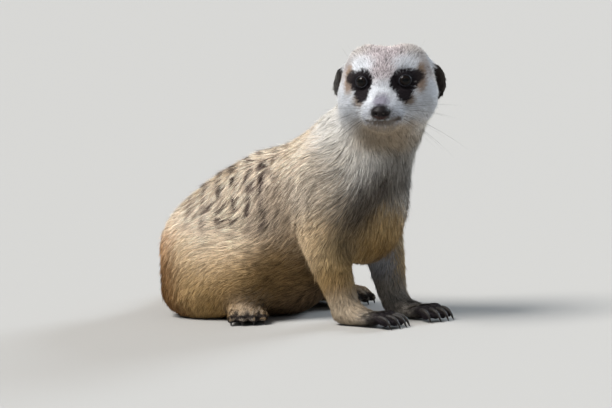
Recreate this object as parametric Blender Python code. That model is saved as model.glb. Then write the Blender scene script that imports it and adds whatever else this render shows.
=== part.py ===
"""A life-size meerkat that sits on its haunches with straight forelegs and looks to its right.

Frame: +Z up, metres. The trunk faces -Y, so the animal's left side is +X. The floor it sits on is
z = 0, and the origin is at the bottom centre of the whole model's box.

The flesh is one smooth skin drawn round named masses: swept oval tubes and ovals, blended where
they meet. The skin is meshed once and then parted into named pieces with thin cuts. Sizes are out
to the tips of the coat.

Places on the body are given in millimetres forward, left and up, from a point on the floor under
the belly. main() moves the finished pieces to the model's own origin.
"""

import math
from collections import namedtuple

import bmesh
import bpy
import numpy as np
from mathutils import Matrix, Vector

MM = 0.001
GAP = 0.3 * MM                     # between pieces that meet
SKIN_VOXEL = 1.3 * MM              # of the mesh that the skin starts from
SKIN_TRIANGLES = 2950              # of the skin, before it is parted
FINE_FACTOR = 4e-6                 # how much less readily the head and feet are thinned
LINE_STEPS = 5                     # short straight stretches between two stations of a tube
OVAL_SEGMENTS = 14                 # round an eye or the nose

# Head: turned to the animal's right.
HEAD_AT = (75, -6, 140)            # middle of the braincase
HEAD_YAW = math.radians(60)
HEAD_ROLL = math.radians(0.5)      # left ear up

EYE_RADIUS = 4.7
EYE_AT = (18.9, 11.7, 4.0)         # in the head's frame, on the left
NOSE_AT = (41.6, 0, -12.3)
NOSE_RADII = (4.4, 5.0, 3.8)
EAR_AT = (-7, 26.6, 0.9)
EAR_RADII = (2.6, 8.8, 13.0)         # thick, wide and tall

DIGITS = 4                         # on every foot; a meerkat has no thumb
FORE_CLAW = (9.0, 1.7)            # reach and root radius
HIND_CLAW = (4.4, 1.3)
SIDES = {"right": -1, "left": 1}

Finish = namedtuple("Finish", "colour roughness")
FACE = Finish((0.60, 0.56, 0.53), 0.9)
BUFF = Finish((0.46, 0.36, 0.25), 0.9)
RUST = Finish((0.36, 0.24, 0.13), 0.9)
TAN = Finish((0.42, 0.30, 0.16), 0.9)
DARK_FUR = Finish((0.035, 0.028, 0.026), 0.85)
LEATHER = Finish((0.02, 0.018, 0.02), 0.35)
HORN = Finish((0.03, 0.027, 0.03), 0.3)
EYE = Finish((0.015, 0.009, 0.006), 0.05)


def spot(forward, left, up):
    """A point in metres from millimetres along the body."""
    return np.array((left, -forward, up), float) * MM


class Place:
    """A small frame of its own for the head, a foot or a cut."""

    def __init__(self, origin, yaw=0.0, pitch=0.0, roll=0.0, inside=None):
        """yaw turns to the animal's right, pitch lowers the front and roll lifts the left side."""
        turn = Matrix.Rotation(-yaw, 3, "Z") @ Matrix.Rotation(pitch, 3, "X") @ Matrix.Rotation(-roll, 3, "Y")
        self.turn = np.array(turn)
        self.origin = spot(*origin)
        if inside is not None:
            self.origin = inside.origin + inside.turn @ self.origin
            self.turn = inside.turn @ self.turn

    def at(self, forward, left, up):
        return self.origin + self.turn @ spot(forward, left, up)

    def matrix(self, forward=0, left=0, up=0):
        return Matrix.Translation(self.at(forward, left, up)) @ Matrix(self.turn).to_4x4()


class Oval:
    """An ellipsoid with half sizes forward, left and up, in the frame of its place."""

    def __init__(self, place, middle, radii, blend=8):
        self.middle = place.at(*middle)
        self.radii = np.array((radii[1], radii[0], radii[2]), float) * MM
        self.turn = place.turn
        self.blend = blend * MM

    def distance(self, points):
        local = (points - self.middle) @ self.turn
        first = np.linalg.norm(local / self.radii, axis=1)
        second = np.linalg.norm(local / self.radii**2, axis=1)
        return first * (first - 1) / np.maximum(second, 1e-9)

    def reach(self):
        return self.middle - self.radii.max(), self.middle + self.radii.max()

    def seeds(self):
        yield self.middle, self.turn, self.radii


class Tube:
    """Oval sections along a smooth line. A station is a point, a half width and a half depth.

    wide_way is the way that widths are measured. It must not run along the tube.
    """

    def __init__(self, place, stations, blend=8, wide_way=(0, 1, 0)):
        self.points = smooth_line([place.at(*station[0]) for station in stations])
        self.sizes = smooth_line([np.array(station[1:], float) * MM for station in stations])
        along = np.gradient(self.points, axis=0)
        self.along = along / np.linalg.norm(along, axis=1, keepdims=True)
        way = place.turn @ spot(*wide_way) / MM
        across = way - self.along * (self.along @ way)[:, None]
        self.across = across / np.linalg.norm(across, axis=1, keepdims=True)
        self.up = np.cross(self.along, self.across)
        self.blend = blend * MM

    def distance(self, points):
        """Distance to the section through each point. Round caps close both ends."""
        best = np.full(len(points), 1.0)
        before = (points - self.points[0]) @ self.along[0]
        for n in range(len(self.points) - 1):
            after = (points - self.points[n + 1]) @ self.along[n + 1]
            own = (before >= 0) & (after <= 0)
            share = before / np.maximum(before - after, 1e-9)
            if n == 0:
                own |= before < 0
            if n == len(self.points) - 2:
                own |= after > 0
            share = np.clip(share[own], 0, 1)[:, None]
            best[own] = np.minimum(best[own], self.stretch_distance(points[own], n, share))
            before = after
        return best

    def stretch_distance(self, points, n, share):
        def between(values):
            return values[n] + share * (values[n + 1] - values[n])
        offset = points - between(self.points)
        wide, deep = between(self.sizes).T
        stretch = np.sqrt(((offset * between(self.across)).sum(1) / wide) ** 2
                          + ((offset * between(self.up)).sum(1) / deep) ** 2
                          + ((offset * between(self.along)).sum(1) / (0.5 * (wide + deep))) ** 2)
        away = np.linalg.norm(offset, axis=1)
        return away - away / np.maximum(stretch, 1e-6)

    def reach(self):
        return self.points.min(0) - self.sizes.max(), self.points.max(0) + self.sizes.max()

    def seeds(self):
        for point, along, across, up, size in zip(self.points, self.along, self.across, self.up, self.sizes):
            yield point, np.stack([across, along, up], axis=1), (size[0], size.mean(), size[1])


def smooth_line(values):
    """A Catmull-Rom line through the values, LINE_STEPS stretches to each pair."""
    ends = [2 * values[0] - values[1], *values, 2 * values[-1] - values[-2]]
    line = []
    for before, start, stop, after in zip(ends, ends[1:], ends[2:], ends[3:]):
        for n in range(LINE_STEPS):
            t = n / LINE_STEPS
            line.append(0.5 * (2 * start + (stop - before) * t
                               + (2 * before - 5 * start + 4 * stop - after) * t**2
                               + (3 * start - before - 3 * stop + after) * t**3))
    return np.array(line + [values[-1]])


class Flesh:
    """The masses of the body, blended into one surface."""

    def __init__(self, masses, hollows):
        self.masses = masses
        self.hollows = hollows

    def distance(self, points):
        joined = np.full(len(points), 1.0)
        for mass in self.masses:
            self.blend_in(joined, mass, points)
        joined = -joined
        for hollow in self.hollows:
            self.blend_in(joined, hollow, points)
        return -joined

    @staticmethod
    def blend_in(joined, mass, points):
        """Lowers the known distances to the mass's own, smoothly where the two are alike."""
        low, high = mass.reach()
        near = ((points > low - 2 * mass.blend) & (points < high + 2 * mass.blend)).all(axis=1)
        if near.any():
            own = mass.distance(points[near])
            known = joined[near]
            shared = np.clip(1 - np.abs(known - own) / mass.blend, 0, None)
            joined[near] = np.minimum(known, own) - shared**2 * mass.blend / 4

    def step_to_surface(self, points):
        """How far to move each point so that it lies on the surface, from four probes round it."""
        probe = 0.05 * MM
        corners = np.array([(1, 1, 1), (1, -1, -1), (-1, 1, -1), (-1, -1, 1)], float)
        found = [self.distance(points + probe * corner) for corner in corners]
        slope = sum(np.outer(value, corner) for value, corner in zip(found, corners)) / (4 * probe)
        steep = np.maximum((slope**2).sum(axis=1, keepdims=True), 0.25)
        return -np.mean(found, axis=0)[:, None] * slope / steep

    def skin(self):
        """A closed mesh on the blended surface, with few triangles where it is nearly flat."""
        bm = bmesh.new()
        for mass in self.masses:
            for middle, turn, radii in mass.seeds():
                place = Matrix.Translation(middle) @ Matrix(turn).to_4x4() @ Matrix.Diagonal((*radii, 1.0))
                bmesh.ops.create_icosphere(bm, subdivisions=2, radius=1.0, matrix=place)
        body = new_object("skin", bm)
        remesh = body.modifiers.new("remesh", "REMESH")
        remesh.mode = "VOXEL"
        remesh.voxel_size = SKIN_VOXEL
        apply_modifiers(body)
        for _ in range(3):
            self.settle(body)
        thin = body.modifiers.new("thin", "DECIMATE")
        thin.ratio = SKIN_TRIANGLES / (2 * len(body.data.polygons))
        thin.vertex_group = self.mark_fine_places(body)
        thin.vertex_group_factor = FINE_FACTOR
        apply_modifiers(body)
        body.vertex_groups.clear()
        return body

    @staticmethod
    def mark_fine_places(body):
        """A vertex group that keeps more triangles on the head and the feet."""
        group = body.vertex_groups.new(name="thinned")
        points = np.array([vert.co for vert in body.data.vertices])
        fine = np.zeros(len(points), bool)
        for centre, radius in [(HEAD.at(14, 0, -4), 34 * MM)] + [(foot.place.at(26, 0, 4), 26 * MM) for _, foot in feet()]:
            fine |= np.linalg.norm(points - centre, axis=1) < radius
        group.add([int(n) for n in np.nonzero(~fine)[0]], 1.0, "REPLACE")
        group.add([int(n) for n in np.nonzero(fine)[0]], 0.5, "REPLACE")
        return group.name

    def settle(self, body):
        """Evens the mesh and moves it back onto the blended surface."""
        bm = bmesh.new()
        bm.from_mesh(body.data)
        bmesh.ops.smooth_vert(bm, verts=bm.verts, factor=0.5,
                              use_axis_x=True, use_axis_y=True, use_axis_z=True)
        bm.to_mesh(body.data)
        bm.free()
        points = np.empty(3 * len(body.data.vertices))
        body.data.vertices.foreach_get("co", points)
        points = points.reshape(-1, 3)
        for _ in range(2):
            points += self.step_to_surface(points)
        body.data.vertices.foreach_set("co", points.ravel())
        body.data.update()


# ---- The masses -----------------------------------------------------------------------------

BODY = Place((0, 0, 0))
HEAD = Place(HEAD_AT, yaw=HEAD_YAW, roll=HEAD_ROLL)


def trunk_masses():
    yield Tube(BODY, [((-61, 0, 42.5), 37.5, 32), ((-41, 0, 50.8), 40, 37.8), ((-12, 0, 59.5), 38, 42),
                      ((14, 0, 71), 33, 37.5), ((38, 0, 84), 30, 33)])
    yield Oval(BODY, (-22, 0, 31), (44, 38, 34), blend=14)           # belly, sagging to the floor
    yield Oval(BODY, (-66, 0, 19.5), (27, 26, 18.5), blend=12)       # rump, sat down between the thighs
    yield Oval(BODY, (46, 2, 67.5), (27.5, 26.5, 35.5), blend=12)    # brisket
    yield Tube(BODY, [((38, 0, 86), 31, 32), ((51, 3, 104), 28.5, 30), ((61.5, 6, 120), 26, 26.5),
                      ((67, 5, 133), 23.5, 23.5)], blend=14)         # neck


def head_masses():
    yield Oval(HEAD, (-4, 0, 3), (25, 26, 20), blend=6)              # braincase
    yield Oval(HEAD, (9, 0, 4), (15.5, 19.5, 14), blend=8)           # brow
    for side in SIDES.values():
        yield Oval(HEAD, (-5, side * 11.5, 9), (17, 14.5, 15.8), blend=4)  # temple, rounded up beside a shallow dip
        yield Oval(HEAD, (3, side * 14.5, -9), (19, 15.5, 15), blend=10)  # cheek
    yield Tube(HEAD, [((2, 0, -6), 20, 17), ((14, 0, -8), 16, 14), ((24, 0, -10), 12, 10.5),
                      ((33, 0, -11.5), 8.8, 7.8), ((39, 0, -11.7), 6.4, 6)], blend=11)
    for side in SIDES.values():
        yield Oval(HEAD, (31, side * 5.5, -15), (9.5, 6.3, 5.4), blend=8)  # whisker pad
    yield Tube(HEAD, [((2, 0, -17), 16, 10), ((16, 0, -18.6), 12, 6.6), ((28.5, 0, -20.4), 7.2, 4.3)], blend=9)


def head_hollows():
    """The hollows that the eyes lie in, between brow and cheek."""
    for side in SIDES.values():
        yield Oval(HEAD, (26.2, side * 14.5, 4.2), (6, 7.2, 6), blend=5)


def arm_line(side):
    """Shoulder, elbow, forearm and wrist. The left one is set a little further forward."""
    ahead = 6 if side == SIDES["left"] else 2
    return [((34 + ahead, side * 26, 66), 12, 16), ((36 + ahead, side * 28, 48), 11, 13),
            ((41 + ahead, side * 24, 34), 11, 12.3), ((45 + ahead * 0.9, side * 22.5, 21), 9.8, 10.2),
            ((49 + ahead * 0.8, side * 22, 11), 9, 8.5), ((55 + ahead * 0.7, side * 22, 6.5), 9, 6)]


def foreleg_masses(side):
    ahead = 5 if side == SIDES["left"] else 1
    yield Oval(BODY, (35 + ahead, side * 23, 76), (21, 13.5, 27), blend=12)
    yield Tube(BODY, arm_line(side), blend=8)


def hind_leg_masses(side):
    yield Oval(BODY, (-46, side * 26, 32), (36, 21, 32), blend=10)       # thigh
    yield Oval(BODY, (-51, side * 27, 14), (30, 22, 17), blend=10)       # seat
    yield Oval(BODY, (-16, side * 36, 26), (18, 14, 22), blend=10)       # knee and shank


class Foot:
    """Palm or sole, four digits that spread by the fan angle, and their claws. Sizes are in mm. The
    arch says how many digit radii the knuckle and the tip stand above the floor."""

    def __init__(self, place, length, width, height, reach, digit, fan, claw, arch=(2.1, 1.3)):
        self.place = place
        self.length = length
        self.width = width
        self.height = height
        self.reach = reach
        self.digit = digit
        self.fan = fan
        self.claw = claw
        self.arch = arch

    def masses(self):
        yield Tube(self.place, [((0, 0, self.height), self.width, self.height),
                                ((0.6 * self.length, 0, self.height * 0.9), self.width, self.height * 0.9),
                                ((self.length, 0, self.height * 0.7), self.width, self.height * 0.7)], blend=5)
        for n in range(DIGITS):
            root, middle, tip, _ = self.digit_line(n)
            yield Tube(self.place, [(root, self.digit, self.digit), (middle, self.digit, self.digit),
                                    (tip, self.digit * 0.85, self.digit * 0.85)], blend=1.6)

    def digit_line(self, n):
        """Root, knuckle and tip of a digit, and its angle outwards."""
        across = n / (DIGITS - 1) * 2 - 1
        reach = self.reach * (1 - 0.16 * across**2)
        turn = across * self.fan
        start = self.length - 2
        left = across * (self.width - self.digit * 0.6)
        middle = (start + 0.6 * reach, left + 0.6 * reach * math.sin(turn), self.digit * self.arch[0])
        tip = (start + reach, left + reach * math.sin(turn), self.digit * self.arch[1])
        return (start, left, self.digit * 1.6), middle, tip, turn

    def claw_line(self, n):
        """Points and radii of a claw that arches out of the digit's tip and down to the floor."""
        _, _, (forward, left, up), turn = self.digit_line(n)
        length, thick = self.claw
        rise = up + 0.45 * self.digit
        for k in range(CLAW_RINGS):
            t = k / (CLAW_RINGS - 1)
            out = (length + CLAW_ROOT) * math.sin(1.3 * t) / math.sin(1.3) - CLAW_ROOT
            drop = (rise - CLAW_TIP_UP) * t**2 - CLAW_ARCH * math.sin(math.pi * t)
            point = self.place.at(forward + out * math.cos(turn), left + out * math.sin(turn), rise - drop)
            yield point, (thick * (1 - t**1.5) + 0.22 * t) * MM


CLAW_RINGS = 5
CLAW_SIDES = 6
CLAW_TIP_UP = 0.45
CLAW_ROOT = 1.5                    # how far a claw's root lies inside the digit
CLAW_ARCH = 0.6                    # rise in the middle of a claw


def feet():
    for name, side in SIDES.items():
        place = Place((50, side * 22, 0), yaw=math.radians(2))
        if side == SIDES["left"]:
            place = Place((57, side * 20, 0), yaw=math.radians(14))
        yield "forefoot_" + name, Foot(place, 21, 8.4, 5.8, 16, 2.8, math.radians(5), FORE_CLAW, arch=(2.6, 1.9))
    right = Place((-26, -20, 0), yaw=math.radians(50))
    left = Place((-32, 55, 0), yaw=math.radians(9))
    yield "hindfoot_right", Foot(right, 26, 10.8, 7.2, 14, 3.1, math.radians(4), HIND_CLAW, arch=(2.0, 1.05))
    yield "hindfoot_left", Foot(left, 28, 11, 9.6, 13.5, 3.6, math.radians(7), HIND_CLAW)


TAIL_LINE = [((-76, 0, 30), 16), ((-92, 10, 15), 12.5), ((-106, 26, 9), 9.8), ((-119, 45, 8), 8.8),
             ((-129, 66, 7.5), 8.2), ((-132, 88, 7), 7.6), ((-124, 108, 6.5), 6.9), ((-107, 121, 5.8), 6),
             ((-87, 126, 5), 5), ((-70, 124, 3.6), 3.5)]


# Name, station that the length starts at, and half width and height of its cutter
TAIL_CUTS = [("tail_tip", 7.2, 20, 20), ("tail_end", 5.2, 28, 20), ("tail_middle", 3.4, 28, 20),
             ("tail_root", 1.6, 16, 14)]


def tail():
    return Tube(BODY, [(point, radius, radius) for point, radius in TAIL_LINE], blend=8, wide_way=(0, 0, 1))


def all_masses():
    yield from trunk_masses()
    for side in SIDES.values():
        yield from hind_leg_masses(side)
        yield from foreleg_masses(side)
    yield tail()
    yield from head_masses()
    for _, foot in feet():
        yield from foot.masses()


# ---- Mesh tools -----------------------------------------------------------------------------

def new_object(name, bm):
    mesh = bpy.data.meshes.new(name)
    bm.to_mesh(mesh)
    bm.free()
    made = bpy.data.objects.new(name, mesh)
    bpy.context.scene.collection.objects.link(made)
    return made


def apply_modifiers(body):
    """Bakes the object's modifiers into its mesh."""
    bpy.context.view_layer.update()
    evaluated = body.evaluated_get(bpy.context.evaluated_depsgraph_get())
    mesh = bpy.data.meshes.new_from_object(evaluated)
    body.modifiers.clear()
    old = body.data
    body.data = mesh
    bpy.data.meshes.remove(old)


def copy_of(body, name):
    made = bpy.data.objects.new(name, body.data.copy())
    bpy.context.scene.collection.objects.link(made)
    return made


def boolean(body, operation, cutter):
    """Cuts the body, drops crumbs that the cut leaves, and removes the cutter."""
    cut = body.modifiers.new("cut", "BOOLEAN")
    cut.operation = operation
    cut.object = cutter
    cut.solver = "EXACT"
    apply_modifiers(body)
    bpy.data.objects.remove(cutter)
    keep_largest_island(body)


def keep_largest_island(body):
    bm = bmesh.new()
    bm.from_mesh(body.data)
    bmesh.ops.remove_doubles(bm, verts=bm.verts, dist=2e-6)
    bmesh.ops.dissolve_degenerate(bm, edges=bm.edges, dist=2e-6)
    left = set(bm.verts)
    largest = []
    while left:
        island = []
        front = [left.pop()]
        while front:
            vert = front.pop()
            island.append(vert)
            linked = [edge.other_vert(vert) for edge in vert.link_edges]
            fresh = [other for other in linked if other in left]
            left.difference_update(fresh)
            front.extend(fresh)
        if len(island) > len(largest):
            largest = island
    kept = set(largest)
    bmesh.ops.delete(bm, geom=[vert for vert in bm.verts if vert not in kept], context="VERTS")
    bm.to_mesh(body.data)
    bm.free()


def oval_solid(name, matrix, radii):
    """An ellipsoid with a pole in front; radii are forward, left and up in metres."""
    bm = bmesh.new()
    size = Matrix.Diagonal((radii[1], radii[0], radii[2], 1.0)) @ Matrix.Rotation(math.pi / 2, 4, "X")
    bmesh.ops.create_uvsphere(bm, u_segments=OVAL_SEGMENTS, v_segments=OVAL_SEGMENTS // 2 + 1, radius=1.0,
                              matrix=matrix @ size)
    return new_object(name, bm)


# ---- Cuts: each gives its cutter solid, grown by a margin on every side -----------------------

class BoxCut:
    """Low and high are corners forward, left and up in mm, in the frame of the place."""

    def __init__(self, place, low, high):
        self.place = place
        self.low = low
        self.high = high

    def solid(self, margin):
        middle = [(a + b) / 2 for a, b in zip(self.low, self.high)]
        forward, left, up = [(b - a) * MM + 2 * margin for a, b in zip(self.low, self.high)]
        bm = bmesh.new()
        bmesh.ops.create_cube(bm, size=1.0, matrix=self.place.matrix(*middle) @ Matrix.Diagonal((left, forward, up, 1)))
        return new_object("cutter", bm)


class OvalCut:
    """An oval whose lower half may reach deeper than its upper half."""

    def __init__(self, place, middle, radii, depth=None):
        self.place = place
        self.middle = middle
        self.radii = radii
        self.depth = depth or radii[2]

    def solid(self, margin):
        forward, left, up = [radius * MM + margin for radius in self.radii]
        bm = bmesh.new()
        bmesh.ops.create_icosphere(bm, subdivisions=2, radius=1.0)
        for vert in bm.verts:
            rise = up if vert.co.z > 0 else self.depth * MM + margin
            vert.co = Vector((vert.co.x * left, vert.co.y * forward, vert.co.z * rise))
        bmesh.ops.transform(bm, matrix=self.place.matrix(*self.middle), verts=bm.verts)
        return new_object("cutter", bm)


def take(body, name, cut):
    """Parts one piece from the body, and leaves a gap between the two."""
    piece = copy_of(body, name)
    boolean(piece, "INTERSECT", cut.solid(0))
    boolean(body, "DIFFERENCE", cut.solid(GAP))
    return piece


def foot_cut(foot, back):
    """An oval round a foot, in front of where its leg comes down."""
    return OvalCut(foot.place, (back + 22, 0, 2), (24, 14.5, 2 * foot.height - 1))


def wrist_cut(foot):
    place = Place((0, 0, 12.5), pitch=math.radians(-38), inside=foot.place)
    return BoxCut(place, (-25, -16, -40), (70, 16, 0))


def tail_cuts():
    """Boxes, from the tip to the root, that part the tail into lengths."""
    whole = tail()
    for name, station, wide, high in TAIL_CUTS:
        n = round(station * LINE_STEPS)
        left, backward, up = whole.points[n] / MM
        forward = -backward
        yaw = math.atan2(-whole.along[n][0], -whole.along[n][1])
        yield name, BoxCut(Place((forward, left, up), yaw=yaw), (0, -wide, -30), (70, wide, high))


def body_cuts():
    """Names and cuts in the order in which the pieces come off. What is left is the trunk."""
    neck_top = Place((61, -2, 121), yaw=math.radians(17), pitch=math.radians(37))
    yield "head", BoxCut(neck_top, (-70, -70, 0), (70, 70, 90))
    yield from tail_cuts()
    for name, foot in feet():
        if name.startswith("forefoot"):
            yield name, wrist_cut(foot)
        else:
            yield name, foot_cut(foot, 13)
    neck_base = Place((49, 2, 99), pitch=math.radians(30))
    yield "neck", BoxCut(neck_base, (-60, -60, 0), (60, 60, 70))
    for name, side in SIDES.items():
        ahead = 6 if side == SIDES["left"] else 1.5
        leg = Place((37 + ahead, side * 23, 0), roll=-side * math.radians(8))
        yield "foreleg_" + name, OvalCut(leg, (1, -side, 56), (26, 17.5, 40), depth=100)
        yield "haunch_" + name, OvalCut(BODY, (-42, side * 43, 30), (37, 25, 35))


# ---- Nose, eyes, ears and claws ---------------------------------------------------------------

def head_oval(name, at, radii, margin=0.0):
    return oval_solid(name, HEAD.matrix(*at), [radius * MM + margin for radius in radii])


def ear(name, side):
    """An upright flap, dished in front, that stands out and forward from the side of the head."""
    place = Place((EAR_AT[0], side * EAR_AT[1], EAR_AT[2]), yaw=-side * math.radians(24),
                  roll=side * math.radians(6), inside=HEAD)
    thick, wide, tall = EAR_RADII
    bm = bmesh.new()
    bmesh.ops.create_icosphere(bm, subdivisions=3, radius=1.0)
    for vert in bm.verts:
        rim = math.hypot(vert.co.x, vert.co.z)
        dish = 2.6 * max(0.0, 1 - (rim / 0.8) ** 2) if vert.co.y < 0 else 0.0
        vert.co = Vector((vert.co.x * wide, vert.co.y * thick + dish, vert.co.z * tall)) * MM
    bmesh.ops.transform(bm, matrix=place.matrix(), verts=bm.verts)
    return new_object(name, bm)


def claw(name, line, margin=0.0):
    """A bent horn: oval rings along the line, narrower across than deep."""
    points, radii = zip(*line)
    bm = bmesh.new()
    for n, (point, radius) in enumerate(zip(points, radii)):
        ahead = points[min(n + 1, len(points) - 1)] - points[max(n - 1, 0)]
        turn = Vector(ahead).to_track_quat("Z", "X").to_matrix().to_4x4()
        size = Matrix.Diagonal((radius + margin, 0.8 * radius + margin, 1.0, 1.0))
        bmesh.ops.create_circle(bm, segments=CLAW_SIDES, radius=1.0, cap_ends=n in (0, len(points) - 1),
                                matrix=Matrix.Translation(point) @ turn @ size)
        if n:
            open_edges = [edge for edge in bm.edges if edge.is_wire or edge.is_boundary]
            bmesh.ops.bridge_loops(bm, edges=open_edges)
    bmesh.ops.recalc_face_normals(bm, faces=bm.faces)
    return new_object(name, bm)


def join(name, pieces):
    bm = bmesh.new()
    for piece in pieces:
        bm.from_mesh(piece.data)
        bpy.data.objects.remove(piece)
    return new_object(name, bm)


def grown_copy(body):
    """The body swollen by the gap, to cut what rests against it."""
    swollen = copy_of(body, "cutter")
    swell = swollen.modifiers.new("swell", "DISPLACE")
    swell.mid_level = 0.0
    swell.strength = GAP
    apply_modifiers(swollen)
    return swollen


def add_claws(pieces):
    for name, foot in feet():
        sockets = join("cutter", [claw("socket", foot.claw_line(n), GAP) for n in range(DIGITS)])
        boolean(pieces[name], "DIFFERENCE", sockets)
        for n in range(DIGITS):
            label = name.replace("foot", "claw") + "_" + str(n + 1)
            pieces[label] = claw(label, foot.claw_line(n))


def add_face(pieces):
    head = pieces["head"]
    boolean(head, "DIFFERENCE", head_oval("cutter", NOSE_AT, NOSE_RADII, GAP))
    pieces["nose"] = head_oval("nose", NOSE_AT, NOSE_RADII)
    for name, side in SIDES.items():
        at = (EYE_AT[0], side * EYE_AT[1], EYE_AT[2])
        radii = [EYE_RADIUS] * 3
        boolean(head, "DIFFERENCE", head_oval("cutter", at, radii, GAP))
        pieces["eye_" + name] = head_oval("eye_" + name, at, radii)
        flap = ear("ear_" + name, side)
        boolean(flap, "DIFFERENCE", grown_copy(head))
        boolean(flap, "DIFFERENCE", grown_copy(pieces["neck"]))
        pieces["ear_" + name] = flap


# ---- Finishes and placing ---------------------------------------------------------------------

FINISHES = {"head": FACE, "nose": LEATHER, "eye": EYE, "ear": DARK_FUR, "neck": FACE, "trunk": BUFF,
            "foreleg": TAN, "forefoot": DARK_FUR, "haunch": RUST, "hindfoot": TAN, "tail": BUFF,
            "foreclaw": HORN, "hindclaw": HORN}


def paint(name, piece):
    finish = DARK_FUR if name == "tail_tip" else FINISHES[name.split("_")[0]]
    material = bpy.data.materials.new(name)
    material.use_nodes = True
    shader = material.node_tree.nodes["Principled BSDF"]
    shader.inputs["Base Color"].default_value = (*finish.colour, 1.0)
    shader.inputs["Roughness"].default_value = finish.roughness
    shader.inputs["Metallic"].default_value = 0.0
    piece.data.materials.clear()
    piece.data.materials.append(material)
    piece.data.shade_smooth()


def centre_on_origin(pieces):
    """Moves every piece so that the middle of the whole box stands over the origin."""
    corners = np.array([vert.co for piece in pieces for vert in piece.data.vertices])
    middle = (corners.min(0) + corners.max(0)) / 2
    for piece in pieces:
        piece.data.transform(Matrix.Translation((-middle[0], -middle[1], -corners[:, 2].min())))


def main():
    for old in list(bpy.data.objects):
        bpy.data.objects.remove(old)
    body = Flesh(list(all_masses()), list(head_hollows())).skin()
    floor = BoxCut(BODY, (-300, -300, -60), (300, 300, 0))
    boolean(body, "DIFFERENCE", floor.solid(0))
    pieces = {name: take(body, name, cut) for name, cut in body_cuts()}
    body.name = "trunk"
    pieces["trunk"] = body
    add_claws(pieces)
    add_face(pieces)
    for name, piece in pieces.items():
        paint(name, piece)
    centre_on_origin(list(pieces.values()))


if __name__ == "__main__":
    main()
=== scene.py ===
"""Looks of a life-size meerkat that sits with its head turned to one side.

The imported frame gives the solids. Round them this script puts one skin, a coat of hair tufts,
eyes with lids, a nose pad, claws and whiskers, on a plain pale floor under soft light.
"""

import logging
import math
from dataclasses import dataclass, field
from enum import Enum

import bmesh
import bpy
import numpy as np
from mathutils import Euler, Matrix, Vector
from mathutils.bvhtree import BVHTree
from mathutils.kdtree import KDTree


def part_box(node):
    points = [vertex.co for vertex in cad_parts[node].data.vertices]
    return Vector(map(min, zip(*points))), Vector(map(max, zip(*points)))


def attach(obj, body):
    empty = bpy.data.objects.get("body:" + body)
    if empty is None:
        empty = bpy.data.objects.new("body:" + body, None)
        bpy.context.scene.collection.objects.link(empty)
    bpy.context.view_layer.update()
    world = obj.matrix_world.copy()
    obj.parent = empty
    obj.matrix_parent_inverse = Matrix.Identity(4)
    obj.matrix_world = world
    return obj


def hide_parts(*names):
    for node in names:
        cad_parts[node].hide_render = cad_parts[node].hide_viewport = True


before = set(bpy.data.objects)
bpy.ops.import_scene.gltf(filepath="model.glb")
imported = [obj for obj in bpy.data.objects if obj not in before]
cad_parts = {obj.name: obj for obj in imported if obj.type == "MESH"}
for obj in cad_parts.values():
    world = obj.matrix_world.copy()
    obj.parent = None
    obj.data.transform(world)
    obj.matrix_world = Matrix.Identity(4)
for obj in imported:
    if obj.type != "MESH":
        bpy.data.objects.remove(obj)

LOG = logging.getLogger("meerkat")
MM = 0.001
BODY_NAME = "root"
Array = np.ndarray
Spot = tuple[float, float, float]
RGB = tuple[float, float, float]

SIDES = {"right": -1, "left": 1}
DIGITS = range(1, 5)
FLAT = np.array([1, 1, 0])
FLESH = ["head", "ear_right", "ear_left", "neck", "trunk"]
FLESH += [f"tail_{part}" for part in ("root", "middle", "end", "tip")]
FLESH += [f"{limb}_{side}" for limb in ("foreleg", "forefoot", "haunch", "hindfoot")
          for side in SIDES]


# ---- Small sums ----

def unit(ways: Array) -> Array:
    """Directions scaled to length one."""
    return ways / np.maximum(np.linalg.norm(ways, axis=-1, keepdims=True), 1e-12)


def ramp(values: Array, low: float, high: float) -> Array:
    """Eases values from 0 at low to 1 at high."""
    t = np.clip((values - low) / (high - low), 0, 1)
    return t * t * (3 - 2 * t)


def mix(first: Array, second: Array, share: Array | float) -> Array:
    """Goes from the first to the second as the share goes from 0 to 1.

    Args:
        first: what holds where the share is 0.
        second: what holds where it is 1.
        share: one number, or one a row.

    Returns:
        What lies between.
    """
    share = np.asarray(share)
    if share.ndim and np.ndim(first) > share.ndim:
        share = share[..., None]
    return first + (second - first) * share


def bell(values: Array, middle: float, spread: float, power: int = 2) -> Array:
    """A bump of 1 at the middle that falls off to both sides."""
    return np.exp(-((values - middle) / spread)**power)


def sided(spot: Spot, sign: int) -> Array:
    """A spot that is given for the left side, on the side of this sign."""
    return np.array([spot[0], sign * spot[1], spot[2]], float)


def flat_to(ways: Array, normals: Array) -> Array:
    """Directions laid flat on the surface that has these normals."""
    return unit(ways - (ways * normals).sum(-1, keepdims=True) * normals)


def swing(ways: Array, normals: Array, angles: Array) -> Array:
    """Directions on a surface turned about its normals by angles in radians."""
    return ways * np.cos(angles)[:, None] + np.cross(normals, ways) * np.sin(angles)[:, None]


def near_line(places: Array, line: Array) -> Array:
    """Distance of each place from a line of points.

    Args:
        places: one place a row.
        line: the line's points in order.

    Returns:
        One distance a place, in the places' own measure.
    """
    best = np.full(len(places), np.inf)
    for start, end in zip(line[:-1], line[1:]):
        run = end - start
        t = np.clip((places - start) @ run / (run @ run), 0, 1)
        best = np.minimum(best, np.linalg.norm(places - start - t[:, None] * run, axis=1))
    return best


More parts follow.
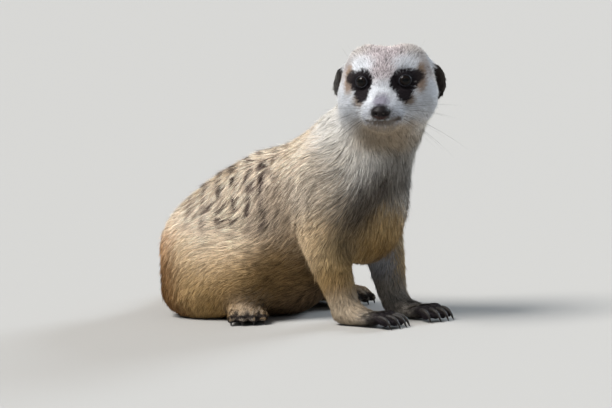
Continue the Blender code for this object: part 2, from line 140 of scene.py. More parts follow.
def blend_near(places: Array, spots: Array, reach: Array, values: Array) -> Array:
    """Mixes the values of the spots round each place, by a bell curve of the distance.

    Args:
        places: one place a row.
        spots: where each value holds.
        reach: how far each spot's value carries.
        values: one row of values a spot.

    Returns:
        One row of mixed values a place.
    """
    at_once = 20000
    mixed = np.empty((len(places), values.shape[1]))
    for start in range(0, len(places), at_once):
        part = places[start:start + at_once]
        gap = (part**2).sum(1)[:, None] + (spots**2).sum(1)[None] - 2 * part @ spots.T
        gap = np.maximum(gap, 0) / (2 * reach**2)
        weight = np.exp(gap.min(1, keepdims=True) - gap)
        mixed[start:start + at_once] = weight @ values / weight.sum(1, keepdims=True)
    return mixed


class Waves:
    """Smooth seeded noise in space: a sum of sine waves that run many ways."""

    count = 10
    paces = (0.6, 1.6)

    def __init__(self, size: float, seed: int) -> None:
        """Draws the waves.

        Args:
            size: a typical wave's length in metres.
            seed: the number that the waves are drawn from.
        """
        draw = np.random.default_rng(seed)
        ways = unit(draw.normal(size=(self.count, 3))) * (2 * math.pi / size)
        self.pace = ways * draw.uniform(*self.paces, (self.count, 1))
        self.start = draw.uniform(0, 2 * math.pi, self.count)

    def at(self, places: Array) -> Array:
        """The noise at each place, about 0 with a spread of 1."""
        return np.sin(places @ self.pace.T + self.start).sum(1) * math.sqrt(2 / self.count)


# ---- Meshes ----

def rows_of(items: bpy.types.bpy_prop_collection, name: str, width: int,
            kind: type = float) -> Array:
    """Reads one property of a mesh's parts.

    Args:
        items: its vertices, edges, loops or triangles.
        name: the property.
        width: how many numbers it has.
        kind: their type.

    Returns:
        One row a part.
    """
    rows = np.empty(width * len(items), kind)
    items.foreach_get(name, rows)
    return rows.reshape(-1, width)


def points_of(mesh: bpy.types.Mesh) -> Array:
    """Places of a mesh's vertices, one a row."""
    return rows_of(mesh.vertices, "co", 3)


def normals_of(mesh: bpy.types.Mesh) -> Array:
    """Normals of a mesh's vertices, one a row."""
    return rows_of(mesh.vertex_normals, "vector", 3)


def move_points(mesh: bpy.types.Mesh, places: Array) -> None:
    """Puts a mesh's vertices at new places."""
    mesh.vertices.foreach_set("co", places.ravel())
    mesh.update()


def new_object(name: str, data: bpy.types.ID) -> bpy.types.Object:
    """Links a new object at the origin.

    Args:
        name: its name.
        data: its mesh, lamp or camera.

    Returns:
        The object.
    """
    piece = bpy.data.objects.new(name, data)
    bpy.context.scene.collection.objects.link(piece)
    return piece


def from_bmesh(name: str, bm: bmesh.types.BMesh, smooth: bool = True) -> bpy.types.Object:
    """Makes an object from a bmesh and frees it.

    Args:
        name: the piece's name.
        bm: its shape, in the frame's own place.
        smooth: whether its faces shade smoothly.

    Returns:
        The new object.
    """
    mesh = bpy.data.meshes.new(name)
    bmesh.ops.recalc_face_normals(bm, faces=bm.faces)
    for face in bm.faces:
        face.smooth = smooth
    bm.to_mesh(mesh)
    bm.free()
    return new_object(name, mesh)


def from_arrays(name: str, places: Array, triangles: Array,
                smooth: bool = True) -> bpy.types.Object:
    """Makes an object from triangles.

    Args:
        name: the piece's name.
        places: one vertex a row.
        triangles: three vertex numbers a row.
        smooth: whether they shade smoothly.

    Returns:
        The new object.
    """
    mesh = bpy.data.meshes.new(name)
    mesh.vertices.add(len(places))
    mesh.vertices.foreach_set("co", places.astype(np.float32).ravel())
    mesh.loops.add(3 * len(triangles))
    mesh.loops.foreach_set("vertex_index", triangles.astype(np.int32).ravel())
    mesh.polygons.add(len(triangles))
    mesh.polygons.foreach_set("loop_start", np.arange(0, 3 * len(triangles), 3, dtype=np.int32))
    mesh.polygons.foreach_set("use_smooth", np.full(len(triangles), smooth))
    mesh.update(calc_edges=True)
    return new_object(name, mesh)


def paint(mesh: bpy.types.Mesh, colours: Array) -> None:
    """Stores the colours that the hair and skin finishes read.

    Args:
        mesh: the piece's mesh.
        colours: one colour a vertex.
    """
    tint = mesh.color_attributes.new("tint", "FLOAT_COLOR", "POINT")
    rgba = np.ones((len(colours), 4), np.float32)
    rgba[:, :3] = np.clip(colours, 0, 1)
    tint.data.foreach_set("color", rgba.ravel())


def swollen(nodes: list[str], proud: float) -> bmesh.types.BMesh:
    """Joins copies of nodes, each swollen a little.

    Args:
        nodes: the nodes' names.
        proud: how far their surface moves out, in metres.

    Returns:
        A bmesh of them all.
    """
    bm = bmesh.new()
    for node in nodes:
        bm.from_mesh(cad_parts[node].data)
    bmesh.ops.remove_doubles(bm, verts=bm.verts, dist=2e-6)
    bm.normal_update()
    for vert in bm.verts:
        vert.co += vert.normal * proud
    return bm


# ---- Axes of the body and the head ----

@dataclass(frozen=True)
class Axes:
    """Forward, left and up, measured in millimetres from an origin that is in metres."""

    origin: Array
    ways: Array

    def at(self, spots: Array | Spot) -> Array:
        """Places in the frame of spots given in millimetres."""
        return self.origin + np.asarray(spots, float) @ self.ways * MM

    def turn(self, ways: Array | Spot) -> Array:
        """Directions in the frame of directions along these axes."""
        return np.asarray(ways, float) @ self.ways

    def local(self, places: Array) -> Array:
        """Millimetres along these axes of places in the frame."""
        return (places - self.origin) @ self.ways.T / MM


@dataclass(frozen=True)
class Aperture:
    """The opening between an eye's lids: an almond on the eyeball, tipped down towards the nose."""

    wide: float = math.radians(47)
    high: float = math.radians(38.5)
    tip: float = math.radians(12)
    fullness: float = 1.75

    def edge(self, around: Array, sign: int) -> Array:
        """Angle from the eye's axis to the lid's edge.

        Args:
            around: angles about the eye's axis, from its left.
            sign: -1 for the right eye, 1 for the left.

        Returns:
            One angle in radians for each.
        """
        around = around - sign * self.tip
        across = np.abs(np.cos(around) / self.wide)**self.fullness
        upwards = np.abs(np.sin(around) / self.high)**self.fullness
        return (across + upwards)**(-1 / self.fullness)


@dataclass(frozen=True)
class Build:
    """How the animal is put together: its axes, and where eyes, nose and ears sit in the head.

    All spots and sizes but the axes are in millimetres.
    """

    body: Axes
    head: Axes
    eye: Spot = (18.9, 11.7, 4.0)
    eye_look: Spot = (1.0, 0.33, 0.10)
    eye_radius: float = 4.7
    aperture: Aperture = Aperture()
    nose: Spot = (41.6, 0.0, -12.3)
    nose_radii: Spot = (4.5, 5.5, 4.1)
    ear: Spot = (-7.0, 26.6, 0.9)
    ear_radii: Spot = (2.6, 8.8, 13.0)
    head_on_body: Spot = (75, -6, 140)

    @classmethod
    def measured(cls) -> "Build":
        """Finds both sets of axes from where the eyes and the nose are in the frame.

        Returns:
            The build of this animal.
        """
        nodes = ("eye_right", "eye_left", "nose")
        right, left, nose = (np.array(sum(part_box(node), Vector())) / 2 for node in nodes)
        middle = (right + left) / 2
        sideways = unit(left - right)
        ahead = nose - middle
        ahead = unit(ahead - (ahead @ sideways) * sideways)
        drop = math.atan2(cls.eye[2] - cls.nose[2], cls.nose[0] - cls.eye[0])
        forward = ahead * math.cos(drop) + np.cross(ahead, sideways) * math.sin(drop)
        ways = np.array([forward, sideways, np.cross(forward, sideways)])
        head = Axes(middle - np.array([cls.eye[0], 0, cls.eye[2]]) @ ways * MM, ways)
        along = np.array([[0, -1, 0], [1, 0, 0], [0, 0, 1]], float)
        return cls(Axes(head.origin - np.array(cls.head_on_body) @ along * MM, along), head)

    def eye_axes(self, side: str) -> Axes:
        """Axes of one eye: forward is where it looks, a little outwards and up.

        Args:
            side: right or left.

        Returns:
            The eye's axes, from its centre.
        """
        look = unit(sided(self.eye_look, SIDES[side]))
        left = unit(np.cross([0, 0, 1.0], look))
        ways = np.array([look, left, np.cross(look, left)]) @ self.head.ways
        return Axes(self.head.at(sided(self.eye, SIDES[side])), ways)

    def round_eye(self, places: Array, side: str) -> tuple[Array, Array, Array, Array]:
        """How places lie round one eye.

        Args:
            places: one place a row.
            side: right or left.

        Returns:
            Spots along the eye's axes, their distances from its centre, and their angles in
            radians from its axis and beyond the lids' edge.
        """
        spots = self.eye_axes(side).local(places)
        far = np.linalg.norm(spots, axis=1)
        angle = np.arccos(np.clip(spots[:, 0] / np.maximum(far, 1e-9), -1, 1))
        edge = self.aperture.edge(np.arctan2(spots[:, 2], spots[:, 1]), SIDES[side])
        return spots, far, angle, angle - edge

    def round_nose(self, places: Array) -> Array:
        """Places from the nose pad's middle along the head's axes, in its own radii."""
        return (self.head.local(places) - np.array(self.nose)) / np.array(self.nose_radii)


# ---- The lie of the coat ----

@dataclass(frozen=True)
class Lie:
    """How the hair lies round one spot: which way, how long and how deep, in millimetres."""

    at: Spot
    way: Spot
    length: float
    depth: float
    reach: float = 8.0
    both: bool = True

    def values(self, sign: int) -> tuple[float, ...]:
        """Its numbers in one row, for the side of this sign."""
        return (*sided(self.way, sign), self.length, self.depth)


@dataclass(frozen=True)
class Nap:
    """How long and deep the hair is round one spot of the head, in millimetres."""

    at: Spot
    length: float
    depth: float
    reach: float
    both: bool = True

    def values(self, sign: int) -> tuple[float, ...]:
        """Its numbers in one row, the same for either sign."""
        return (self.length, self.depth)


def lay_out(marks: "list[Lie | Nap | Tinge]", centre: float) -> tuple[Array, Array, Array]:
    """Lays marks out as arrays, with both sides of the paired ones.

    Args:
        marks: the marks, given for the left side.
        centre: how near the middle line a mark has no second side.

    Returns:
        Their spots, reaches and values.
    """
    rows = [(sided(mark.at, sign), mark.reach, mark.values(sign)) for mark in marks
            for sign in ((1, -1) if mark.both and abs(mark.at[1]) >= centre else (1,))]
    return tuple(np.array([row[n] for row in rows], float) for n in range(3))


@dataclass
class Groom:
    """The lie of the whole coat, read at any place.

    On the head the hair flows from the nose to the nape and parts round the eyes.
    """

    build: Build
    lies: list[Lie] = field(default_factory=lambda: [
        Lie((34, 0, 118), (-0.8, 0, -0.6), 9, 3), Lie((10, 0, 108), (-0.95, 0, -0.35), 11, 3.5),
        Lie((-20, 0, 100), (-1, 0, -0.3), 12, 3.6), Lie((-55, 0, 86), (-0.9, 0, -0.5), 12, 3.6),
        Lie((-86, 0, 66), (-0.6, 0, -0.8), 10, 3.4), Lie((-98, 0, 44), (-0.1, 0, -1), 8, 2.8),
        Lie((-92, 0, 16), (-0.1, 0, -1), 7, 2.2), Lie((43, 21, 119), (-0.82, 0, -0.58), 9, 3),
        Lie((45, 30, 105), (-0.88, 0.36, -0.31), 10.5, 3.2),
        Lie((23, 26, 105), (-0.83, 0.09, -0.55), 11, 3.6),
        Lie((4, 23, 96), (-0.37, 0.54, -0.76), 12, 3.8),
        Lie((-6, 30, 84), (-0.22, 0.49, -0.84), 12.5, 4),
        Lie((-37, 23, 86), (-0.15, 0.72, -0.65), 11.5, 3.7),
        Lie((-49, 28, 76), (-0.34, 0.57, -0.75), 11.5, 3.7),
        Lie((12, 34, 64), (-0.57, 0, -0.82), 13, 4), Lie((22, 36, 79), (-0.54, 0, -0.84), 13, 4),
        Lie((39, 38, 84), (-0.52, 0.17, -0.84), 12, 3.8),
        Lie((52, 34, 90), (-0.84, 0.46, -0.28), 11, 3.5),
        Lie((55, 33, 75), (-0.72, 0.49, -0.48), 10.5, 3.2),
        Lie((49, 35, 58), (-0.69, 0.40, -0.60), 9.5, 2.8),
        Lie((43, 38, 53), (-0.54, 0.14, -0.83), 9.5, 2.8),
        Lie((27, 35, 47), (-0.72, 0, -0.55), 10, 3),
        Lie((13, 29, 43), (-0.76, 0.20, -0.61), 12, 3.4),
        Lie((-4, 39, 46), (-0.86, 0.40, -0.30), 13, 3.6),
        Lie((-21, 45, 46), (-0.99, 0.11, -0.10), 13, 3.4),
        Lie((-37, 44, 50), (-0.91, 0.16, -0.38), 12, 3.4),
        Lie((-47, 42, 57), (-0.86, 0.14, -0.49), 11, 3.2),
        Lie((-72, 32, 58), (-0.80, 0, -0.60), 10, 3.2),
        Lie((-72, 38, 48), (-0.30, 0.15, -0.92), 9, 3),
        Lie((-57, 45, 42), (-0.52, 0.06, -0.85), 8.5, 2.6),
        Lie((-41, 47, 35), (-0.83, 0.06, -0.56), 9, 2.5),
        Lie((-27, 47, 38), (-0.96, 0, -0.27), 10, 2.6),
        Lie((-5, 44, 39), (-0.88, 0.40, -0.12), 9.5, 2.5),
        Lie((8, 31, 35), (-0.75, 0.66, -0.06), 8, 2.3),
        Lie((-52, 48, 24), (-0.33, 0.11, -0.94), 7.5, 2.2),
        Lie((-46, 49, 18), (-0.27, 0, -0.96), 7, 2),
        Lie((-36, 47, 25), (-0.68, 0, -0.73), 7.5, 2.1),
        Lie((-18, 50, 29), (-0.89, 0.07, -0.46), 8, 2.2),
        Lie((-4, 47, 26), (-0.79, 0.55, -0.27), 7.5, 2.1),
        Lie((2, 35, 19), (-0.46, 0.86, -0.22), 6.5, 1.9),
        Lie((-29, 46, 12), (-0.62, 0, -0.73), 6, 1.8),
        Lie((-64, 45, 26), (-0.07, 0.13, -0.99), 8, 2.4),
        Lie((-59, 49, 14), (-0.05, 0, -0.98), 7, 2), Lie((-82, 24, 30), (-0.25, 0, -0.97), 8, 2.5),
        Lie((16, 21, 27), (-0.65, 0.76, -0.04), 8, 2.2), Lie((0, 0, 6), (-1, 0, 0), 5, 1.2, 11),
        Lie((-45, 0, 3), (-1, 0, 0), 4, 0.8, 11), Lie((60, 25, 100), (-0.35, 0.1, -0.94), 10, 3.3),
        Lie((84, 2, 118), (0, 0, -1), 6.5, 2.2), Lie((81, 3, 106), (0, 0, -1), 8, 2.8),
        Lie((74, 3, 92), (-0.05, 0, -1), 11, 3.6), Lie((72, 4, 70), (-0.3, 0, -0.95), 10, 3.6),
        Lie((62, 3, 48), (-0.6, 0, -0.8), 9, 3), Lie((70, 18, 80), (-0.25, 0.25, -0.93), 10.5, 3.6),
        Lie((52, 26, 52), (-0.34, 0.10, -0.94), 7.5, 2.2),
        Lie((48, 35, 40), (-0.35, 0.15, -0.92), 6.5, 1.9),
        Lie((52, 31, 21), (-0.20, 0, -0.98), 6, 1.7), Lie((50, 13, 34), (-0.2, 0, -1), 5.5, 1.6),
        Lie((44, 22, 10), (-0.3, 0, -0.95), 4, 1.2),
        Lie((57, -22, 13), (0.5, 0, -0.85), 5.5, 1.6, 6, False),
        Lie((65, -22, 10), (0.97, -0.03, -0.3), 5.5, 1.3, 6, False),
        Lie((75, -22, 7), (0.97, -0.03, -0.3), 3.6, 0.8, 6, False),
        Lie((85, -23, 4), (0.97, -0.03, -0.3), 2, 0.35, 6, False),
        Lie((62, 19, 13), (0.6, -0.15, -0.8), 5.5, 1.6, 6, False),
        Lie((71, 16, 9), (0.95, -0.24, -0.25), 5, 1.2, 6, False),
        Lie((82, 13, 6), (0.95, -0.24, -0.25), 3.2, 0.7, 6, False),
        Lie((92, 11, 4), (0.95, -0.24, -0.25), 2, 0.35, 6, False),
        Lie((-19, -29, 9), (0.64, -0.77, -0.2), 4.6, 1.3, 7, False),
        Lie((-9, -40, 7), (0.64, -0.77, -0.2), 3.6, 0.9, 7, False),
        Lie((-2, -48, 4), (0.64, -0.77, -0.2), 2.4, 0.45, 7, False),
        Lie((-22, 53, 9), (0.97, -0.16, -0.2), 4.6, 1.3, 7, False),
        Lie((-7, 51, 7), (0.97, -0.16, -0.2), 3.6, 0.9, 7, False),
        Lie((6, 49, 4), (0.97, -0.16, -0.2), 2.4, 0.45, 7, False),
        Lie((-92, 8, 17), (-0.8, 0.5, -0.35), 8.5, 2.5, 12, False),
        Lie((-106, 26, 9), (-0.55, 0.83, 0), 8.5, 2.5, 12, False),
        Lie((-121, 48, 8), (-0.4, 0.92, 0), 8, 2.4, 12, False),
        Lie((-131, 70, 7.5), (-0.2, 0.98, 0), 7.5, 2.2, 12, False),
        Lie((-131, 92, 7), (0.2, 0.98, 0), 7, 2.1, 12, False),
        Lie((-121, 111, 6.5), (0.7, 0.7, 0), 6.5, 2, 12, False),
        Lie((-104, 122, 6), (0.95, 0.25, 0), 6.5, 1.8, 12, False),
        Lie((-80, 126, 4), (1, -0.05, 0), 6, 1.5, 12, False),
    ])
    naps: list[Nap] = field(default_factory=lambda: [
        Nap((36, 0, -5), 1.3, 0.3, 5), Nap((31, 0, -2), 1.8, 0.5, 6),
        Nap((36, 6, -12), 1.7, 0.45, 5), Nap((30, 9, -12), 2.2, 0.6, 6),
        Nap((26, 0, -21), 2.4, 0.7, 6), Nap((25, 0, 6), 2.3, 0.7, 6),
        Nap((19, 12, 4), 1.4, 0.35, 7), Nap((16, 14, 14), 3.4, 1.3, 5),
        Nap((10, 21, 8), 2.6, 0.9, 6), Nap((14, 0, 18), 3.6, 1.2, 8), Nap((0, 0, 24), 4.4, 1.6, 10),
        Nap((-14, 0, 22), 5.5, 2, 10), Nap((-26, 0, 8), 6.5, 2.4, 12),
        Nap((17, 18, -8), 3.6, 1.3, 7), Nap((8, 24, -10), 5, 1.9, 8), Nap((-3, 24, -16), 9, 3, 9),
        Nap((12, 12, -22), 6, 2.0, 8), Nap((-6, 8, -26), 8, 2.8, 10), Nap((0, 25, 12), 4, 1.5, 7),
        Nap((-6, 30, 3), 2.6, 0.6, 6), Nap((-16, 22, 0), 6, 2.2, 9),
    ])
    from_nose: Spot = (42, 0, -11)
    to_nape: Spot = (-18, 0, -34)
    eye_part: float = 2.2
    eye_spread: float = 2.2
    head_middle: Spot = (6, 0, -2)
    head_stretch: Spot = (1.15, 1, 1)
    head_edge: tuple[float, float] = (31, 43)

    def __post_init__(self) -> None:
        """Lays the lists out as arrays."""
        self._lies, self._naps = lay_out(self.lies, 4.5), lay_out(self.naps, 1)
        self._lies[2][:, :3] = unit(self._lies[2][:, :3])

    def head_share(self, places: Array) -> Array:
        """How much each place belongs to the head, from 0 to 1."""
        spots = (self.build.head.local(places) - self.head_middle) / self.head_stretch
        return 1 - ramp(np.linalg.norm(spots, axis=1), *self.head_edge)

    def read(self, places: Array) -> tuple[Array, Array, Array]:
        """Which way the hair runs, and its length and depth.

        Args:
            places: one place a row.

        Returns:
            Directions, lengths in metres and depths in metres.
        """
        build = self.build
        values = blend_near(build.body.local(places), *self._lies)
        head = self.head_share(places)
        spots = build.head.local(places)
        ends = spots - np.array(self.from_nose), spots - np.array(self.to_nape)
        source, sink = (away / (away**2).sum(1, keepdims=True) for away in ends)
        flow = unit(source - sink)
        for sign in SIDES.values():
            away = spots - sided(build.eye, sign)
            gap = np.linalg.norm(away, axis=1, keepdims=True)
            flow = flow + self.eye_part * away / gap * bell(gap, build.eye_radius, self.eye_spread)
        ways = mix(build.body.turn(unit(values[:, :3])), build.head.turn(unit(flow)), head)
        sizes = mix(values[:, 3:], blend_near(spots, *self._naps), head) * MM
        return unit(ways), sizes[:, 0], sizes[:, 1]


# ---- The colours of the coat ----

@dataclass(frozen=True)
class Hair:
    """The colour of one kind of hair: shaft, tip, and the share of hairs with a dark tip."""

    shaft: RGB
    tip: RGB
    ticked: float = 0.0

    def values(self) -> tuple[float, ...]:
        """All its numbers in one row."""
        return (*self.shaft, *self.tip, self.ticked)


CREAM = Hair((0.832, 0.68, 0.538), (0.936, 0.79, 0.634), 0.12)
FAWN = Hair((0.74, 0.59, 0.44), (0.84, 0.7, 0.54), 0.16)
SANDY = Hair((0.70, 0.51, 0.31), (0.80, 0.62, 0.40), 0.16)
ORANGE = Hair((0.546, 0.32, 0.152), (0.651, 0.4, 0.209), 0.16)
RUST = Hair((0.173, 0.0828, 0.0288), (0.223, 0.112, 0.0432), 0.16)
STRAW = Hair((0.494, 0.34, 0.162), (0.608, 0.432, 0.221), 0.12)
GOLD = Hair((0.306, 0.187, 0.068), (0.383, 0.246, 0.102), 0.10)
EARTH = Hair((0.24, 0.15, 0.065), (0.31, 0.20, 0.09), 0.1)
UMBER = Hair((0.14, 0.09, 0.05), (0.19, 0.125, 0.07), 0.1)
MILK = Hair((0.754, 0.727, 0.681), (0.828, 0.81, 0.773), 0.03)
ASH = Hair((0.352, 0.328, 0.296), (0.448, 0.424, 0.384), 0.08)
SLATE = Hair((0.27, 0.28, 0.31), (0.37, 0.38, 0.41), 0.1)
SABLE = Hair((0.075, 0.0585, 0.0435), (0.15, 0.12, 0.09), 0.3)
GRIZZLE = Hair((0.57, 0.478, 0.377), (0.699, 0.607, 0.497), 0.34)
SNOW = Hair((0.608, 0.632, 0.672), (0.664, 0.688, 0.728), 0.0)
PEARL = Hair((0.426, 0.448, 0.502), (0.502, 0.524, 0.578), 0.1)
ROAN = Hair((0.568, 0.49, 0.51), (0.745, 0.676, 0.686), 0.46)
BLACK = Hair((0.016, 0.013, 0.015), (0.026, 0.021, 0.024), 0.0)
SOOT = Hair((0.021, 0.0154, 0.014), (0.035, 0.0266, 0.0238), 0.0)
MAUVE = Hair((0.195, 0.183, 0.23), (0.242, 0.23, 0.277), 0.0)
PLUSH = Hair((0.374, 0.297, 0.212), (0.476, 0.391, 0.289), 0.08)
FUME = Hair((0.24, 0.215, 0.19), (0.34, 0.31, 0.27), 0.2)
BAND = Hair((0.075, 0.048, 0.045), (0.085, 0.058, 0.052), 0.1)
NAPE = Hair((0.50, 0.47, 0.42), (0.62, 0.58, 0.52), 0.1)
DUN = Hair((0.44, 0.35, 0.26), (0.58, 0.47, 0.36), 0.34)
BISCUIT = Hair((0.46, 0.35, 0.24), (0.60, 0.47, 0.34), 0.3)
HONEY = Hair((0.38, 0.27, 0.13), (0.48, 0.35, 0.18), 0.14)
PALE_ASH = Hair((0.52, 0.49, 0.44), (0.64, 0.60, 0.54), 0.1)
BROW = Hair((0.46, 0.42, 0.40), (0.60, 0.56, 0.53), 0.3)
TEMPLE = Hair((0.36, 0.29, 0.26), (0.48, 0.40, 0.36), 0.2)
CHIN = Hair((0.21, 0.17, 0.13), (0.30, 0.245, 0.19))
EYE_PATCH_SIDE = Hair((0.24, 0.155, 0.098), (0.33, 0.22, 0.145))
EYE_PATCH_TOP = Hair((0.28, 0.19, 0.125), (0.37, 0.265, 0.185))
EYE_PATCH_FOOT = Hair((0.165, 0.115, 0.072), (0.24, 0.165, 0.108))
MOUTH_CORNER = Hair((0.09, 0.07, 0.065), (0.13, 0.10, 0.09))
LOWER_LIP = Hair((0.075, 0.05, 0.04), (0.11, 0.075, 0.06))


@dataclass(frozen=True)
class Tinge:
    """A kind of hair that grows round one spot and blends into its neighbours."""

    at: Spot
    hair: Hair
    reach: float = 9.0
    both: bool = True

    def values(self, sign: int) -> tuple[float, ...]:
        """Its hair's numbers in one row, the same for either sign."""
        return self.hair.values()


@dataclass(frozen=True)
class Patch:
    """A rounded patch of one kind of hair with a ragged edge, by its middle and half sizes."""

    at: Spot
    radii: Spot
    hair: Hair
    strength: float = 1.0
    soft: float = 0.18
    both: bool = True


@dataclass
class Markings:
    """Which hair grows where, over body and head."""

    build: Build
    body: list[Tinge] = field(default_factory=lambda: [
        Tinge((36, 0, 122), MILK), Tinge((43, 21, 119), MILK), Tinge((54, 30, 106), NAPE, 8),
        Tinge((14, 0, 109), CREAM), Tinge((-20, 0, 100), CREAM), Tinge((-55, 0, 87), CREAM),
        Tinge((-84, 0, 68), CREAM), Tinge((-84, 16, 66), CREAM), Tinge((-96, 0, 54), CREAM),
        Tinge((-90, 18, 54), CREAM), Tinge((-99, 0, 38), ORANGE), Tinge((-96, 0, 18), RUST),
        Tinge((22, 28, 100), CREAM), Tinge((-15, 30, 85), CREAM), Tinge((-50, 28, 77), CREAM),
        Tinge((7, 36, 66), DUN), Tinge((-22, 38, 62), FAWN), Tinge((-48, 40, 60), CREAM),
        Tinge((-70, 34, 60), CREAM), Tinge((-12, 42, 48), CREAM), Tinge((-36, 44, 51), CREAM),
        Tinge((-28, 47, 38), SANDY), Tinge((-52, 46, 40), SANDY), Tinge((-8, 44, 38), STRAW),
        Tinge((-76, 36, 44), ORANGE), Tinge((-84, 24, 32), RUST), Tinge((-48, 47, 22), STRAW),
        Tinge((-22, 49, 26), GOLD), Tinge((-64, 44, 26), RUST), Tinge((-62, 46, 12), RUST),
        Tinge((-40, 46, 12), GOLD), Tinge((-14, 47, 16), EARTH), Tinge((2, 42, 30), GOLD),
        # UMBER low on the belly: brown hair, made darker as painted shade where the belly meets the
        # floor.
        Tinge((12, 30, 36), EARTH), Tinge((4, 34, 20), EARTH), Tinge((0, 16, 8), UMBER),
        Tinge((-40, 0, 3), UMBER), Tinge((48, 34, 92), GRIZZLE), Tinge((34, 38, 76), GRIZZLE),
        Tinge((50, 35, 74), GRIZZLE), Tinge((20, 36, 56), BISCUIT), Tinge((44, 39, 58), SANDY),
        Tinge((30, 35, 46), SANDY), Tinge((50, 34, 44), HONEY), Tinge((50, 33, 27), GOLD, 7),
        Tinge((47, 12, 34), SLATE, 6, False), Tinge((56, 15, 33), SLATE, 5, False),
        Tinge((48, -14, 34), STRAW, 6, False), Tinge((61, 23, 33), STRAW, 4),
        Tinge((61, 23, 48), STRAW, 5), Tinge((54, 17, 16), FUME, 6, False),
        Tinge((52, 29, 14), PLUSH, 6), Tinge((62, -24, 10), PLUSH, 5, False),
        Tinge((71, -24, 8), FUME, 4, False), Tinge((78, -23, 5), BLACK, 5, False),
        Tinge((88, -23, 5), BLACK, 5, False), Tinge((65, 18, 10), FUME, 5, False),
        Tinge((74, 15, 8), FUME, 5, False), Tinge((88, 12, 5), BLACK, 6, False),
        Tinge((50, 25, 116), MILK), Tinge((58, 28, 102), PALE_ASH), Tinge((66, 26, 92), MILK),
        # FUME and ASH down the throat: grey-brown hair, made darker as painted shade under the
        # chin.
        Tinge((80, 5, 116), FUME, 7), Tinge((80, 6, 106), ASH, 7), Tinge((72, 15, 103), MILK, 6),
        # SABLE over the chest to the armpits: brown hair, made darker as painted shade under the
        # head and forelegs.
        Tinge((77, 5, 94), ASH, 7), Tinge((75, 10, 83), SABLE, 6), Tinge((70, 18, 80), SABLE, 6),
        Tinge((64, 23, 71), SABLE, 6), Tinge((58, 24, 60), SABLE, 6), Tinge((53, 22, 48), SABLE, 5),
        Tinge((75, 0, 72), ASH, 6), Tinge((72, 4, 58), STRAW, 7), Tinge((64, 6, 46), GOLD, 7),
        # MILK on the chest's left edge only: pale hair, brightened as a painted rim of light from
        # behind.
        Tinge((57, 3, 43), EARTH, 6), Tinge((73, 21, 84), MILK, 6, False),
        Tinge((74, 15, 70), MILK, 5, False), Tinge((-20, -28, 10), GOLD, 7, False),
        Tinge((-9, -42, 8), FAWN, 6, False), Tinge((-2, -50, 3), FUME, 5, False),
        Tinge((-22, 53, 9), GOLD, 7, False), Tinge((-4, 51, 8), FAWN, 6, False),
        Tinge((8, 49, 3), FUME, 5, False), Tinge((-92, 10, 20), SANDY, 9, False),
        Tinge((-110, 32, 10), FAWN, 9, False), Tinge((-131, 68, 8), FAWN, 9, False),
        Tinge((-127, 102, 7), SANDY, 9, False), Tinge((-108, 121, 6), SOOT, 9, False),
        Tinge((-84, 126, 5), BLACK, 9, False),
    ])
    head: list[Tinge] = field(default_factory=lambda: [
        Tinge((2, 0, 24), ROAN, 7), Tinge((12, 0, 18), ROAN, 5), Tinge((22, 0, 10), ROAN, 4),
        Tinge((-20, 0, 16), FAWN, 9), Tinge((-2, 16, 22), BROW, 6),
        Tinge((6, 23.5, 12), TEMPLE, 3.5), Tinge((-20, 20, 0), CREAM, 8),
        Tinge((17, 12, 14), SNOW, 4.5), Tinge((9, 20, 13), SNOW, 4.5), Tinge((29, 0, 0), SNOW, 5),
        Tinge((32, 8, -8), SNOW, 5), Tinge((37, 7, -12), PEARL, 4), Tinge((40, 2, -16.8), SNOW, 2),
        Tinge((20, 17, -9), SNOW, 6), Tinge((8, 24, -12), SNOW, 7), Tinge((-4, 22, -20), MILK, 8),
        # PLUSH under the jaw: browner hair, made darker as painted shade under the head.
        Tinge((37, 3, -20.8), CHIN, 3.2), Tinge((30, 0, -23.5), PLUSH, 6),
        Tinge((10, 10, -25), PLUSH, 7), Tinge((-10, 4, -30), PLUSH, 9),
        Tinge((-7, 24, 13), SNOW, 4),
    ])
    patches: list[Patch] = field(default_factory=lambda: [
        Patch((16, 20.8, 4), (10, 3.6, 7.0), EYE_PATCH_SIDE, 0.85, 0.5),
        Patch((12, 22.0, 11), (6, 2.6, 4.0), EYE_PATCH_TOP, 0.85, 0.5),
        Patch((25, 14.8, -6.4), (8, 3.6, 3.6), EYE_PATCH_FOOT, 0.85, 0.5),
        Patch((21, 12.6, 4.2), (12, 7.2, 7.4), BLACK),
        Patch((15, 18.0, 6.2), (12, 4.8, 4.2), BLACK, 0.95, 0.25),
        Patch((25, 12.4, -1.8), (10, 4.6, 6.2), BLACK),
        Patch((24, 8.2, 3.6), (9, 4.2, 5.6), BLACK, 1.0, 0.22, False),
        # MAUVE on the top of the muzzle: dark grey fur with a painted bluish reflection of the sky.
        Patch((38.0, 0, -5.4), (8.5, 5.0, 5.2), MAUVE, 0.95, 0.5),
        Patch((43, 0, -12.6), (3.4, 6.3, 4.9), SOOT, 0.95, 0.16),
        # MOUTH_CORNER and LOWER_LIP on one side: dark lip skin, widened as painted shadow in the
        # mouth's crease.
        Patch((37.8, 8.6, -16.2), (5.0, 3.9, 1.5), MOUTH_CORNER, 0.85, 0.6, False),
        Patch((42, 1.0, -18.7), (5, 7.5, 1.6), LOWER_LIP, 0.95, 0.45, False),
        Patch((-8, 29.5, -0.5), (7.0, 7.2, 11.5), SOOT, 1.0, 0.12),
    ])
    chest: list[Patch] = field(default_factory=lambda: [
        # PLUSH below the chin: browner hair, partly painted shade under the chin.
        Patch((78, 2, 114), (9, 9, 4), PLUSH, 0.4, 0.5, False),
    ])
    streak: tuple[Spot, ...] = ((83, -8, 112), (81, -6, 106), (79.5, -4.5, 98), (77, -7, 90),
                                (73, -12, 83))
    streak_edge: tuple[float, float] = (0.6, 2.4)
